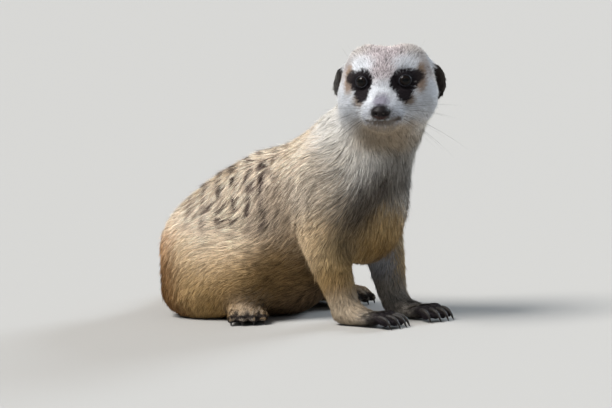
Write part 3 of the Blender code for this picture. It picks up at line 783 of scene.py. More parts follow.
    mouth: tuple[Spot, ...] = ((37.5, 10.2, -16.3), (40.2, 8.0, -17.0), (42, 4, -17.7),
                               (42.6, 0, -17.9), (42, -4, -17.7), (40.2, -7.0, -17.2),
                               (38.6, -8.6, -16.9))
    lip_edge: tuple[float, float] = (0.3, 1.3)
    spot_edge: tuple[float, float] = (0.3, 0.75)
    hind_ways: dict[str, Spot] = field(
        default_factory=lambda: {"right": (0.64, -0.77, 0.0), "left": (0.99, -0.16, 0.0)})
    bands: tuple[tuple[float, float], ...] = (
        (-81, 0.75), (-69.5, 0.9), (-57.5, 0.95), (-46.5, 1.0), (-36, 0.95), (-25, 1.0),
        (-15, 0.8), (-5, 0.5), (6, 0.25))
    band_half: float = 2.3
    band_slant: float = 0.78
    rows: int = 4

    def __post_init__(self) -> None:
        """Lays the tinges out as arrays and draws the noises that break up their edges."""
        self._body, self._head = lay_out(self.body, 4), lay_out(self.head, 1)
        self._toes = [self._toe(side, n) for side in SIDES for n in DIGITS]
        self._ragged, self._fine = Waves(2.6 * MM, 31), Waves(1.1 * MM, 32)
        self._drift, self._broken = Waves(14 * MM, 33), Waves(7.5 * MM, 34)

    def _toe(self, side: str, number: int) -> Array:
        """The line along the top of one hind toe.

        Args:
            side: right or left.
            number: the toe's number.

        Returns:
            The line's two ends, from the instep to the claw.
        """
        low, high = (np.array(corner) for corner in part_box(f"hindclaw_{side}_{number}"))
        claw = self.build.body.local((low + high) / 2)
        back = np.array(self.hind_ways[side])
        return np.array([claw - 15 * back, claw - 2 * back]) * FLAT

    def _toe_shade_and_pads(self, values: Array, body: Array, ragged: Array) -> Array:
        """Blackens the toe gaps as painted shade, and the undersides as dark pads with painted
        shade.

        Args:
            values: hair values so far.
            body: places along the body's axes.
            ragged: noise that breaks up the edges.

        Returns:
            The hair values with painted shade between the toes and dark undersides.
        """
        gap = np.min([near_line(body * FLAT, toe) for toe in self._toes], axis=0) + 0.25 * ragged
        near = (gap < 5) * (1 - ramp(body[:, 2], 6.5, 9.5))
        dark = np.maximum(ramp(gap, 1.7, 2.9), 1 - ramp(body[:, 2], 1.2, 3.6)) * near
        return mix(values, np.array(BLACK.values()), 0.9 * dark)

    def whisker_roots(self, sign: int) -> Array:
        """Roots of the muzzle's whiskers on one side, row by row.

        Args:
            sign: -1 for the right side, 1 for the left.

        Returns:
            One root a row, in the head's axes.
        """
        return np.array([
            (36.5 - 2.7 * place, sign * (6.6 + 1.35 * place), -9.6 - 1.9 * row - 0.5 * place)
            for row in range(self.rows) for place in range(self.rows)])

    @staticmethod
    def _lay(values: Array, spots: Array, patches: list[Patch], ragged: Array) -> Array:
        """Lays patches over the hair values already there.

        Args:
            values: hair values so far.
            spots: where, in the patches' own axes.
            patches: the patches, the first one lowest.
            ragged: noise that breaks up their edges.

        Returns:
            The hair values with the patches.
        """
        for patch in patches:
            for sign in (1, -1) if patch.both and patch.at[1] else (1,):
                away = (spots - sided(patch.at, sign)) / np.array(patch.radii)
                far = np.linalg.norm(away, axis=1) + 0.07 * ragged
                share = patch.strength * (1 - ramp(far, 1 - patch.soft, 1 + patch.soft))
                values = mix(values, np.array(patch.hair.values()), share)
        return values

    def _stripe(self, values: Array, body: Array, places: Array, ragged: Array) -> Array:
        """Draws the broken dark bands across the back.

        Args:
            values: hair values so far.
            body: places along the body's axes.
            places: the same in the frame.
            ragged: noise that breaks up the edges.

        Returns:
            The hair values with the bands.
        """
        drift = 1.1 * self._drift.at(places)
        bar = body[:, 0] - self.band_slant * np.abs(body[:, 1]) + drift + 0.4 * ragged
        high = ramp(body[:, 2], 50, 62) * ramp(-body[:, 0], -14, 0)
        high *= 1 - ramp(-body[:, 0], 84, 96)
        gaps = ramp(self._broken.at(places), -1.0, -0.35)
        for middle, strength in self.bands:
            dark = strength * bell(bar, middle, self.band_half, 4) * high * gaps
            values = mix(values, np.array(BAND.values()), np.clip(dark, 0, 1))
        return values

    def off_mouth(self, spots: Array) -> Array:
        """How far spots of the head, in millimetres, lie above or below the line of the mouth.

        Args:
            spots: places along the head's axes.

        Returns:
            One distance a spot, which is large behind the mouth.
        """
        flat = np.array([0.3, 1, 1])
        gap = near_line(spots * flat, np.array(self.mouth, float) * flat)
        return gap + 9.0 * (spots[:, 0] < 15)

    def _mark_face(self, places: Array, ragged: Array) -> Array:
        """The hair of the head, with its patches, whisker spots and lips.

        Args:
            places: one place a row.
            ragged: noise that breaks up the edges.

        Returns:
            Hair values, one row a place.
        """
        spots = self.build.head.local(places)
        face = blend_near(spots + 0.7 * ragged[:, None], *self._head)
        face = self._lay(face, spots, self.patches, ragged)
        flat = np.array([0.5, 1, 1])
        for sign in SIDES.values():
            roots = self.whisker_roots(sign) * flat
            away = [np.linalg.norm(spots * flat - root, axis=1) for root in roots]
            dot = 1 - ramp(np.min(away, axis=0), *self.spot_edge)
            face = mix(face, np.array(SOOT.values()), 0.75 * dot)
        # The line of the lips: dark lip skin, partly painted shadow in the mouth's crease.
        lips = 1 - ramp(self.off_mouth(spots) + 0.15 * ragged, *self.lip_edge)
        return mix(face, np.array(UMBER.values()) * 0.6, (0.95 - 0.04 * np.abs(spots[:, 1])) * lips)

    def read(self, places: Array, head: Array) -> tuple[Array, Array, Array]:
        """The hair at each place.

        Args:
            places: one place a row.
            head: how much each belongs to the head.

        Returns:
            Colours of shaft and tip, and the share with dark tips.
        """
        ragged = self._ragged.at(places) + 0.6 * self._fine.at(places)
        body = self.build.body.local(places)
        values = blend_near(body + 1.6 * ragged[:, None], *self._body)
        values = self._stripe(values, body, places, ragged)
        values = self._lay(values, body, self.chest, ragged)
        # Black between the hind toes is painted shade; under them it is dark pads with painted
        # shade.
        values = self._toe_shade_and_pads(values, body, ragged)
        streak = near_line(body, np.array(self.streak, float)) + 0.5 * ragged
        share = 0.8 * (1 - ramp(streak, *self.streak_edge))
        values = mix(values, np.array(SABLE.values()) * 0.6, share)
        values = mix(values, self._mark_face(places, ragged), head)
        return values[:, :3], values[:, 3:6], values[:, 6]


# ---- Finishes ----

class Signal:
    """One socket's value in a finish. Arithmetic on it adds Math nodes."""

    def __init__(self, recipe: "Recipe", socket: bpy.types.NodeSocket) -> None:
        """Keeps the socket and the recipe that it belongs to."""
        self.recipe = recipe
        self.socket = socket

    def _math(self, operation: str, first: "Signal | float", second: "Signal | float") -> "Signal":
        """The result of one Math node."""
        return self.recipe.node("ShaderNodeMath", {"operation": operation}, {0: first, 1: second})

    def __add__(self, other: "Signal | float") -> "Signal":
        """This plus other."""
        return self._math("ADD", self, other)

    def __radd__(self, other: float) -> "Signal":
        """Other plus this."""
        return self._math("ADD", other, self)

    def __sub__(self, other: "Signal | float") -> "Signal":
        """This less other."""
        return self._math("SUBTRACT", self, other)

    def __rsub__(self, other: float) -> "Signal":
        """Other less this."""
        return self._math("SUBTRACT", other, self)

    def __mul__(self, other: "Signal | float") -> "Signal":
        """This times other."""
        return self._math("MULTIPLY", self, other)

    def __rmul__(self, other: float) -> "Signal":
        """Other times this."""
        return self._math("MULTIPLY", other, self)

    def __truediv__(self, other: "Signal | float") -> "Signal":
        """This over other."""
        return self._math("DIVIDE", self, other)

    def ease(self, low: float, high: float) -> "Signal":
        """Goes smoothly from 0 where this is low to 1 where it is high."""
        inputs = {"Value": self, "From Min": low, "From Max": high}
        return self.recipe.node("ShaderNodeMapRange", {"interpolation_type": "SMOOTHSTEP"}, inputs)


class Recipe:
    """A material and the nodes that make it."""

    def __init__(self, name: str, **constants: float | tuple[float, ...]) -> None:
        """Starts a material with one Principled shader.

        Args:
            name: the material's name.
            constants: values for the shader's sockets, with _ for a space in their names.
        """
        self.material = bpy.data.materials.new(name)
        self.material.use_nodes = True
        self.tree = self.material.node_tree
        self.tree.nodes.clear()
        self.shader = self.tree.nodes.new("ShaderNodeBsdfPrincipled")
        output = self.tree.nodes.new("ShaderNodeOutputMaterial")
        self.tree.links.new(self.shader.outputs[0], output.inputs[0])
        for key, value in constants.items():
            self.shader.inputs[key.replace("_", " ")].default_value = value

    def node(self, kind: str, settings: dict, inputs: dict, output: int | str = 0) -> Signal:
        """Adds one node.

        Args:
            kind: the node's type.
            settings: its properties.
            inputs: values or signals for its sockets, by name or number.
            output: the socket whose value is wanted.

        Returns:
            That socket's signal.
        """
        node = self.tree.nodes.new(kind)
        for key, value in settings.items():
            setattr(node, key, value)
        for key, value in inputs.items():
            self._put(node.inputs[key], value)
        return Signal(self, node.outputs[output])

    def _put(self, socket: bpy.types.NodeSocket, value: "Signal | float | tuple") -> None:
        """Links a signal to a socket, or sets its value.

        Args:
            socket: the socket.
            value: the signal or the value.
        """
        if isinstance(value, Signal):
            self.tree.links.new(value.socket, socket)
        else:
            socket.default_value = value

    def feed(self, **signals: Signal) -> None:
        """Links signals to the shader's own sockets, with _ for a space in their names."""
        for key, value in signals.items():
            self._put(self.shader.inputs[key.replace("_", " ")], value)

    def place(self) -> Signal:
        """The place on the object, in metres."""
        return self.node("ShaderNodeTexCoord", {}, {}, "Object")

    def tint(self) -> Signal:
        """The colour that is stored on the piece's vertices."""
        return self.node("ShaderNodeAttribute", {"attribute_name": "tint"}, {}, "Color")

    def seen_from(self, axes: Axes) -> Signal:
        """The place along other axes, in metres.

        Args:
            axes: the axes and their origin.

        Returns:
            A vector signal.
        """
        turn = Matrix(axes.ways.T.tolist()).to_euler()
        settings = {"vector_type": "TEXTURE"}
        inputs = {"Vector": self.place(), "Location": tuple(axes.origin), "Rotation": tuple(turn)}
        return self.node("ShaderNodeMapping", settings, inputs)

    def noise(self, scale: float, detail: float = 3.0, where: Signal | None = None) -> Signal:
        """Smooth noise from 0 to 1.

        Args:
            scale: waves in a metre.
            detail: how many finer layers it has.
            where: the place that it reads, or the object's own.

        Returns:
            The noise.
        """
        inputs = {"Vector": where or self.place(), "Scale": scale, "Detail": detail}
        return self.node("ShaderNodeTexNoise", {}, inputs, "Fac")

    def blend(self, share: Signal | float, first: Signal | RGB, second: Signal | RGB,
              kind: str = "MIX") -> Signal:
        """Mixes two colours.

        Args:
            share: how much of the second.
            first: a colour or a colour signal.
            second: the other.
            kind: the Mix node's blending.

        Returns:
            The mixed colour.
        """
        first, second = ((*c, 1.0) if isinstance(c, tuple) else c for c in (first, second))
        settings = {"data_type": "RGBA", "blend_type": kind}
        return self.node("ShaderNodeMix", settings, {0: share, 6: first, 7: second}, 2)

    def relief(self, height: Signal, distance: float, strength: float = 1.0) -> None:
        """Feeds a bump of a height signal to the shader.

        Args:
            height: the relief, from 0 to 1.
            distance: how high 1 stands, in metres.
            strength: how strongly it shades.
        """
        inputs = {"Height": height, "Distance": distance, "Strength": strength}
        self.feed(Normal=self.node("ShaderNodeBump", {}, inputs, "Normal"))


@dataclass(frozen=True)
class Fur:
    """Hair that takes its colour from the piece's own markings."""

    name: str = "fur"
    roughness: float = 0.62

    def make(self) -> bpy.types.Material:
        """Builds the finish.

        Returns:
            The material.
        """
        recipe = Recipe(self.name, Roughness=self.roughness, Specular_IOR_Level=0.04)
        speckle = recipe.noise(900, 2)
        colour = recipe.blend(0.14 * (1 - speckle), recipe.tint(), (0.25, 0.2, 0.17), "MULTIPLY")
        recipe.feed(Base_Color=colour, Roughness=self.roughness - 0.14 + 0.28 * speckle)
        return recipe.material


@dataclass(frozen=True)
class Hide:
    """The skin under the coat, with the coat's colours and the grain of its shortest hair."""

    name: str = "hide"

    def make(self) -> bpy.types.Material:
        """Builds the finish.

        Returns:
            The material.
        """
        recipe = Recipe(self.name, Roughness=0.7, Specular_IOR_Level=0.05)
        grain = 0.5 * recipe.noise(700, 4) + 0.5 * recipe.noise(2600, 3)
        colour = recipe.blend(0.55 * (1 - grain), recipe.tint(), (0.16, 0.12, 0.10), "MULTIPLY")
        recipe.feed(Base_Color=colour, Roughness=0.58 + 0.25 * grain)
        recipe.relief(grain, 0.00035, 0.7)
        return recipe.material


@dataclass(frozen=True)
class NoseLeather:
    """Damp pebbled nose skin: black round the nostrils, red-brown below, with a painted mauve-grey
    sky reflection on top.
    """

    axes: Axes
    name: str = "nose_leather"

    def make(self) -> bpy.types.Material:
        """Builds the finish.

        Returns:
            The material.
        """
        recipe = Recipe(self.name, Roughness=0.45, Specular_IOR_Level=0.16, Coat_Weight=0.03,
                        Coat_Roughness=0.25)
        height = recipe.node("ShaderNodeSeparateXYZ", {}, {0: recipe.seen_from(self.axes)}, "Z")
        level = height * 1000 + 1.6 * (recipe.noise(420, 3) - 0.5)
        # Black leather that turns mauve-grey towards the top as a painted reflection of the sky.
        upper = recipe.blend(level.ease(3.3, 4.9), (0.006, 0.0045, 0.005), (0.085, 0.08, 0.107))
        colour = recipe.blend(level.ease(-1.2, -2.6), upper, (0.045, 0.018, 0.014))
        inputs = {"Vector": recipe.place(), "Scale": 2100.0, "Smoothness": 0.6}
        pebbles = recipe.node("ShaderNodeTexVoronoi", {"feature": "SMOOTH_F1"}, inputs, "Distance")
        recipe.feed(Base_Color=recipe.blend(0.5 * pebbles, colour, (0.02, 0.015, 0.015)),
                    Roughness=0.34 + 0.3 * pebbles)
        recipe.relief(1 - pebbles, 0.00016, 0.8)
        return recipe.material


@dataclass(frozen=True)
class EyeGloss:
    """A dark brown wet eye with a wide black pupil."""

    axes: Axes
    name: str
    radius: float

    def make(self) -> bpy.types.Material:
        """Builds the finish.

        Returns:
            The material.
        """
        recipe = Recipe(self.name, Roughness=0.06, Specular_IOR_Level=0.22, Coat_Weight=0.06,
                        Coat_Roughness=0.03, IOR=1.33)
        spot = recipe.seen_from(self.axes)
        slit = self._out(recipe, spot, (0.0, 0.62, 1.0))
        out = self._out(recipe, spot, (0.0, 1.0, 1.0))
        iris = recipe.blend(recipe.noise(1500, 4), (0.004, 0.003, 0.0025), (0.011, 0.006, 0.004))
        iris = recipe.blend(out.ease(0.52, 0.72), iris, (0.006, 0.005, 0.005))
        recipe.feed(Base_Color=recipe.blend(slit.ease(0.24, 0.29), (0.003, 0.003, 0.003), iris))
        return recipe.material

    def _out(self, recipe: Recipe, spot: Signal, stretch: RGB) -> Signal:
        """How far out from the eye's axis a place is, in the eye's radii.

        Args:
            recipe: the material so far.
            spot: the place along the eye's axes.
            stretch: how far each axis counts.

        Returns:
            The distance.
        """
        kind = "ShaderNodeVectorMath"
        across = recipe.node(kind, {"operation": "MULTIPLY"}, {0: spot, 1: stretch})
        return recipe.node(kind, {"operation": "LENGTH"}, {0: across}, "Value") / self.radius


@dataclass(frozen=True)
class LidSkin:
    """The bare dark edge of an eyelid, a little wet."""

    name: str = "lid_skin"

    def make(self) -> bpy.types.Material:
        """Builds the finish.

        Returns:
            The material.
        """
        recipe = Recipe(self.name, Roughness=0.45, Specular_IOR_Level=0.25, Coat_Weight=0.05,
                        Coat_Roughness=0.25)
        grain = recipe.noise(1900, 3)
        recipe.feed(Base_Color=recipe.blend(grain, (0.006, 0.006, 0.008), (0.020, 0.020, 0.028)))
        recipe.relief(grain, 0.00012, 0.7)
        return recipe.material


@dataclass(frozen=True)
class Horn:
    """Black-brown claw horn, streaked along its length."""

    name: str = "claw_horn"

    def make(self) -> bpy.types.Material:
        """Builds the finish.

        Returns:
            The material.
        """
        recipe = Recipe(self.name, Roughness=0.5, Specular_IOR_Level=0.22)
        streaks = recipe.noise(1100, 4)
        colour = recipe.blend(streaks.ease(0.3, 0.75), (0.008, 0.007, 0.007), (0.030, 0.024, 0.020))
        recipe.feed(Base_Color=colour, Roughness=0.42 + 0.2 * streaks)
        recipe.relief(streaks, 0.0001, 0.6)
        return recipe.material


@dataclass(frozen=True)
class Whisker:
    """Stiff dark whisker hair."""

    name: str = "whisker"

    def make(self) -> bpy.types.Material:
        """Builds the finish.

        Returns:
            The material.
        """
        recipe = Recipe(self.name, Roughness=0.45, Specular_IOR_Level=0.4)
        share = 0.3 * recipe.noise(500, 2)
        shade = recipe.blend(share, recipe.tint(), (0.3, 0.28, 0.26), "MULTIPLY")
        recipe.feed(Base_Color=shade)
        return recipe.material


@dataclass(frozen=True)
class PaleFloor:
    """A plain pale studio floor."""

    name: str = "pale_floor"
    colour: RGB = (0.37, 0.36, 0.345)

    def make(self) -> bpy.types.Material:
        """Builds the finish.

        Returns:
            The material.
        """
        colour = (*self.colour, 1)
        return Recipe(self.name, Roughness=0.85, Specular_IOR_Level=0.2, Base_Color=colour).material


# ---- The skin ----

@dataclass
class Skin:
    """One skin under the whole coat, sunk by the coat's depth, with the face's folds in it."""

    build: Build
    groom: Groom
    markings: Markings
    voxel: float = 1.5 * MM
    proud: float = 0.35 * MM
    floor_gap: float = 0.2 * MM
    smoothings: int = 26
    fore_toe: Spot = (4.2, 2.1, 3.2)
    hind_toe: Spot = (4.4, 2.9, 3.5)
    toe_onward: float = 0.30
    fine_nose: float = 11.5
    fine_eye: float = 9.2
    piece: bpy.types.Object | None = None

    def make(self) -> bpy.types.Object:
        """Builds and dresses the skin.

        Returns:
            The skin.
        """
        self.piece = self._fuse()
        mesh = self.piece.data
        self._relax(mesh, self.smoothings)
        self._unwrap()
        self._refine()
        self._sink()
        for polygon in mesh.polygons:
            polygon.use_smooth = True
        head = self.groom.head_share(points_of(mesh))
        shaft, _, _ = self.markings.read(points_of(mesh), head)
        # The skin is darker than the hair: partly darker underfur, partly painted shade in the gaps
        # between tufts.
        paint(mesh, (0.6 + 0.2 * head)[:, None] * shaft)
        mesh.materials.append(Hide().make())
        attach(self.piece, BODY_NAME)
        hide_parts(*FLESH)
        return self.piece

    def _fuse(self) -> bpy.types.Object:
        """Joins copies of the flesh, the eyes and the nose into one even mesh.

        Returns:
            The fused object.
        """
        bm = swollen([*FLESH, "eye_right", "eye_left", "nose"], self.proud)
        for side in SIDES:
            for n in DIGITS:
                for limb, radii in (("fore", self.fore_toe), ("hind", self.hind_toe)):
                    bmesh.ops.create_icosphere(bm, subdivisions=3, radius=1.0,
                                               matrix=self._toe(f"{limb}claw_{side}_{n}", radii))
        rough = from_bmesh("rough_skin", bm)
        rough.data.materials.clear()
        even = rough.modifiers.new("Even", "REMESH")
        even.mode = "VOXEL"
        even.voxel_size = self.voxel
        seen = rough.evaluated_get(bpy.context.evaluated_depsgraph_get())
        mesh = bpy.data.meshes.new_from_object(seen)
        bpy.data.objects.remove(rough)
        mesh.name = "skin"
        return new_object("skin", mesh)

    def _toe(self, claw: str, radii: Spot) -> Matrix:
        """Where the fleshy end of a toe sits, over the root of its claw.

        Args:
            claw: the claw's node.
            radii: the toe's half sizes along, across and up, in millimetres.

        Returns:
            The matrix that takes a unit sphere to it.
        """
        spots = points_of(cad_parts[claw].data)
        root = spots[spots[:, 2] > 0.75 * spots[:, 2].max()].mean(0)
        tip = spots[spots[:, 2].argmin()]
        middle = mix(root, tip, self.toe_onward)
        middle[2] = (radii[2] + 0.5) * MM
        turn = Matrix.Rotation(math.atan2(tip[1] - root[1], tip[0] - root[0]), 4, "Z")
        sizes = Matrix.Diagonal((*(Vector(radii) * MM), 1.0))
        return Matrix.Translation(Vector(middle)) @ turn @ sizes

    @staticmethod
    def _relax(mesh: bpy.types.Mesh, turns: int, weight: Array | None = None) -> None:
        """Smooths a mesh without shrinking it.

        Args:
            mesh: the mesh.
            turns: how many times.
            weight: how much each vertex takes part, or all of them fully.
        """
        places, edges = points_of(mesh), rows_of(mesh.edges, "vertices", 2, np.int32)
        count = len(places)
        degree = np.bincount(edges.ravel(), minlength=count)[:, None]
        share = 1.0 if weight is None else weight[:, None]
        for pull in (0.5, -0.52) * turns:
            total = np.empty_like(places)
            for axis in range(3):
                total[:, axis] = np.bincount(edges[:, 0], places[edges[:, 1], axis], count)
                total[:, axis] += np.bincount(edges[:, 1], places[edges[:, 0], axis], count)
            places = places + share * pull * (total / degree - places)
        move_points(mesh, places)

    def _unwrap(self) -> None:
        """Lays the skin's own shape out flat in a map named OFBake."""
        self.piece.data.uv_layers.new(name="OFBake")
        bpy.context.view_layer.objects.active = self.piece
        self.piece.select_set(True)
        bpy.ops.object.mode_set(mode="EDIT")
        bpy.ops.mesh.select_all(action="SELECT")
        bpy.ops.uv.smart_project(angle_limit=math.radians(66), island_margin=0.003)
        bpy.ops.object.mode_set(mode="OBJECT")

    def _refine(self) -> None:
        """Divides the face's mesh, once over its front and again round eyes, nose and mouth."""
        mesh = self.piece.data
        bm = bmesh.new()
        bm.from_mesh(mesh)
        for finer in (False, True):
            places = np.array([vert.co[:] for vert in bm.verts])
            spots = self.build.head.local(places)
            if finer:
                away = (spots - self.build.nose) / [1, 1.1, 1]
                chosen = np.linalg.norm(away, axis=1) < self.fine_nose
                for sign in SIDES.values():
                    away = spots - sided(self.build.eye, sign)
                    chosen |= np.linalg.norm(away, axis=1) < self.fine_eye
            else:
                chosen = (self.groom.head_share(places) > 0.9) & (spots[:, 0] > -16)
            edges = [edge for edge in bm.edges if all(chosen[vert.index] for vert in edge.verts)]
            bmesh.ops.subdivide_edges(bm, edges=edges, cuts=1, use_grid_fill=True)
            bm.verts.index_update()
        bmesh.ops.triangulate(bm, faces=[face for face in bm.faces if len(face.verts) > 4])
        bm.to_mesh(mesh)
        bm.free()
        mesh.update()
        self._relax(mesh, 4, self.groom.head_share(points_of(mesh)))

    def _sink(self) -> None:
        """Sinks the skin and shapes its lids and folds, the mouth, the ears and the nose's seat."""
        mesh = self.piece.data
        places, normals = points_of(mesh), normals_of(mesh)
        _, _, depth = self.groom.read(places)
        places = places - normals * (depth + self.proud)[:, None]
        places[:, 2] = np.maximum(places[:, 2], self.floor_gap)
        for side in SIDES:
            places = self._hollow_ear(self._set_lids(places, side), SIDES[side])
        move_points(mesh, self._seat_nose(self._cut_mouth(places, normals)))

    def _set_lids(self, places: Array, side: str) -> Array:
        """Draws the skin over one eyeball as lids, with a fold above and below.

        Args:
            places: the skin's vertices.
            side: right or left.

        Returns:
            The vertices with the lids.
        """
        radius = self.build.eye_radius
        spots, far, angle, beyond = self.build.round_eye(places, side)
        lid = radius + 0.35 + 0.35 * ramp(beyond, 0.05, 0.5)
        crease = 0.45 * bell(beyond, 0.30, 0.09) + 0.25 * bell(beyond, 0.62, 0.10)
        outer = mix(lid, np.maximum(far, lid), ramp(beyond, 0.12, 0.75)) - crease
        target = mix(np.full_like(far, radius - 0.9), outer, ramp(beyond, -0.16, 0.0))
        share = (1 - ramp(far, 8.0, 11.0)) * (1 - ramp(angle, 1.45, 1.8))
        wanted = spots / np.maximum(far, 1e-9)[:, None] * target[:, None]
        return self.build.eye_axes(side).at(mix(spots, wanted, share))

    def _hollow_ear(self, places: Array, sign: int) -> Array:
        """Presses the ear's bowl and its inner ridge into the skin.

        Args:
            places: the skin's vertices.
            sign: -1 for the right ear, 1 for the left.

        Returns:
            The vertices with the ear's bowl.
        """
        spots = self.build.head.local(places)
        ahead, out, up = ((spots - sided(self.build.ear, sign)) / np.array(self.build.ear_radii)).T
        off = np.hypot((out * sign - 0.15), up + 0.1)
        bowl = (1 - ramp(off, 0.25, 0.72)) * ramp(ahead, -0.2, 0.5) * (np.abs(ahead) < 2.4)
        bowl *= out * sign > -0.7
        ridge = bell(up + 0.05 + 0.35 * out * sign, 0, 0.13)
        spots[:, 0] -= bowl * (1.9 - 1.1 * ridge)
        return self.build.head.at(spots)

    def _cut_mouth(self, places: Array, normals: Array) -> Array:
        """Presses the line of the mouth in, with a soft lip over it.

        Args:
            places: the skin's vertices.
            normals: their normals.

        Returns:
            The vertices with the mouth.
        """
        spots = self.build.head.local(places)
        gap = self.markings.off_mouth(spots)
        heights = (-17.9, -17.7, -16.8, -15.4, -13.2)
        line = np.interp(np.abs(spots[:, 1]), (0, 4, 8.6, 12, 13.8), heights)
        lip = 0.45 * bell(spots[:, 2] - line, 1.6, 1.1) * (gap < 6)
        return places + normals * ((lip - 0.9 * bell(gap, 0, 0.6)) * MM)[:, None]

    def _seat_nose(self, places: Array) -> Array:
        """Draws the skin in behind the nose pad.

        Args:
            places: the skin's vertices.

        Returns:
            The vertices with the nose's seat.
        """
        away = self.build.round_nose(places)
        far = np.linalg.norm(away, axis=1)
        seat = ramp(away[:, 0], -0.75, -0.2) * (1 - ramp(far, 1.05, 1.3))
        inward = mix(far, np.minimum(far, 0.82), seat) / np.maximum(far, 1e-9)
        spots = np.array(self.build.nose) + away * inward[:, None] * self.build.nose_radii
        return self.build.head.at(spots)

    def bare(self, places: Array) -> Array:
        """Whether no hair grows at each place: on the eyes, the nose pad and the line of the mouth.

        Args:
            places: one place a row.

        Returns:
            True where it is bare.
        """
        away = self.build.round_nose(places)
        found = (np.linalg.norm(away, axis=1) < 1.08) & (away[:, 0] > -0.6)
        found |= self.markings.off_mouth(self.build.head.local(places)) < 0.4
        for side in SIDES:
            _, far, _, beyond = self.build.round_eye(places, side)
            found |= (beyond < 0.10) & (far < 8)
        return found


# ---- The coat ----

@dataclass(frozen=True)
class Pelt:
    """One piece of the coat.

    Its tufts' spacing and width and the locks' spacing (clump) are in millimetres. Gather is how
    far a tuft's tip leans to its lock's, and speckle how much the tufts vary in brightness.
    """

    piece: str
    slot: str
    spacing: float
    width: float
    gather: float
    clump: float
    speckle: float
    seed: int


class Section(Enum):
    """The pieces of the coat."""

    FACE = Pelt("coat_face", "fur_pale", 0.325, 0.28, 0.12, 1.2, 0.10, 1)
    CROWN = Pelt("coat_crown", "fur_pale", 0.38, 0.34, 0.15, 1.4, 0.18, 2)
    EARS = Pelt("coat_ears", "fur_dark", 0.34, 0.28, 0.15, 1.2, 0.15, 3)
    NECK = Pelt("coat_neck", "fur_pale", 0.41, 0.33, 0.18, 1.8, 0.20, 4)
    BACK = Pelt("coat_back", "fur_buff", 0.46, 0.38, 0.32, 2.2, 0.34, 5)
    CHEST = Pelt("coat_chest", "fur_buff", 0.46, 0.36, 0.20, 1.8, 0.30, 6)
    FLANK_RIGHT = Pelt("coat_flank_right", "fur_buff", 0.46, 0.38, 0.34, 2.4, 0.36, 7)
    FLANK_LEFT = Pelt("coat_flank_left", "fur_buff", 0.46, 0.38, 0.34, 2.4, 0.36, 8)
    BELLY = Pelt("coat_belly", "fur_buff", 0.75, 0.60, 0.3, 2.4, 0.20, 9)
    HAUNCH_RIGHT = Pelt("coat_haunch_right", "fur_rust", 0.45, 0.36, 0.20, 1.8, 0.26, 10)
    HAUNCH_LEFT = Pelt("coat_haunch_left", "fur_rust", 0.45, 0.36, 0.20, 1.8, 0.26, 11)
    FORELEG_RIGHT = Pelt("coat_foreleg_right", "fur_tan", 0.45, 0.35, 0.20, 1.6, 0.24, 12)
    FORELEG_LEFT = Pelt("coat_foreleg_left", "fur_tan", 0.45, 0.35, 0.20, 1.6, 0.24, 13)
    FEET = Pelt("coat_feet", "fur_tan", 0.40, 0.32, 0.2, 1.4, 0.24, 14)
    TAIL = Pelt("coat_tail", "fur_buff", 0.54, 0.46, 0.25, 2.0, 0.26, 15)


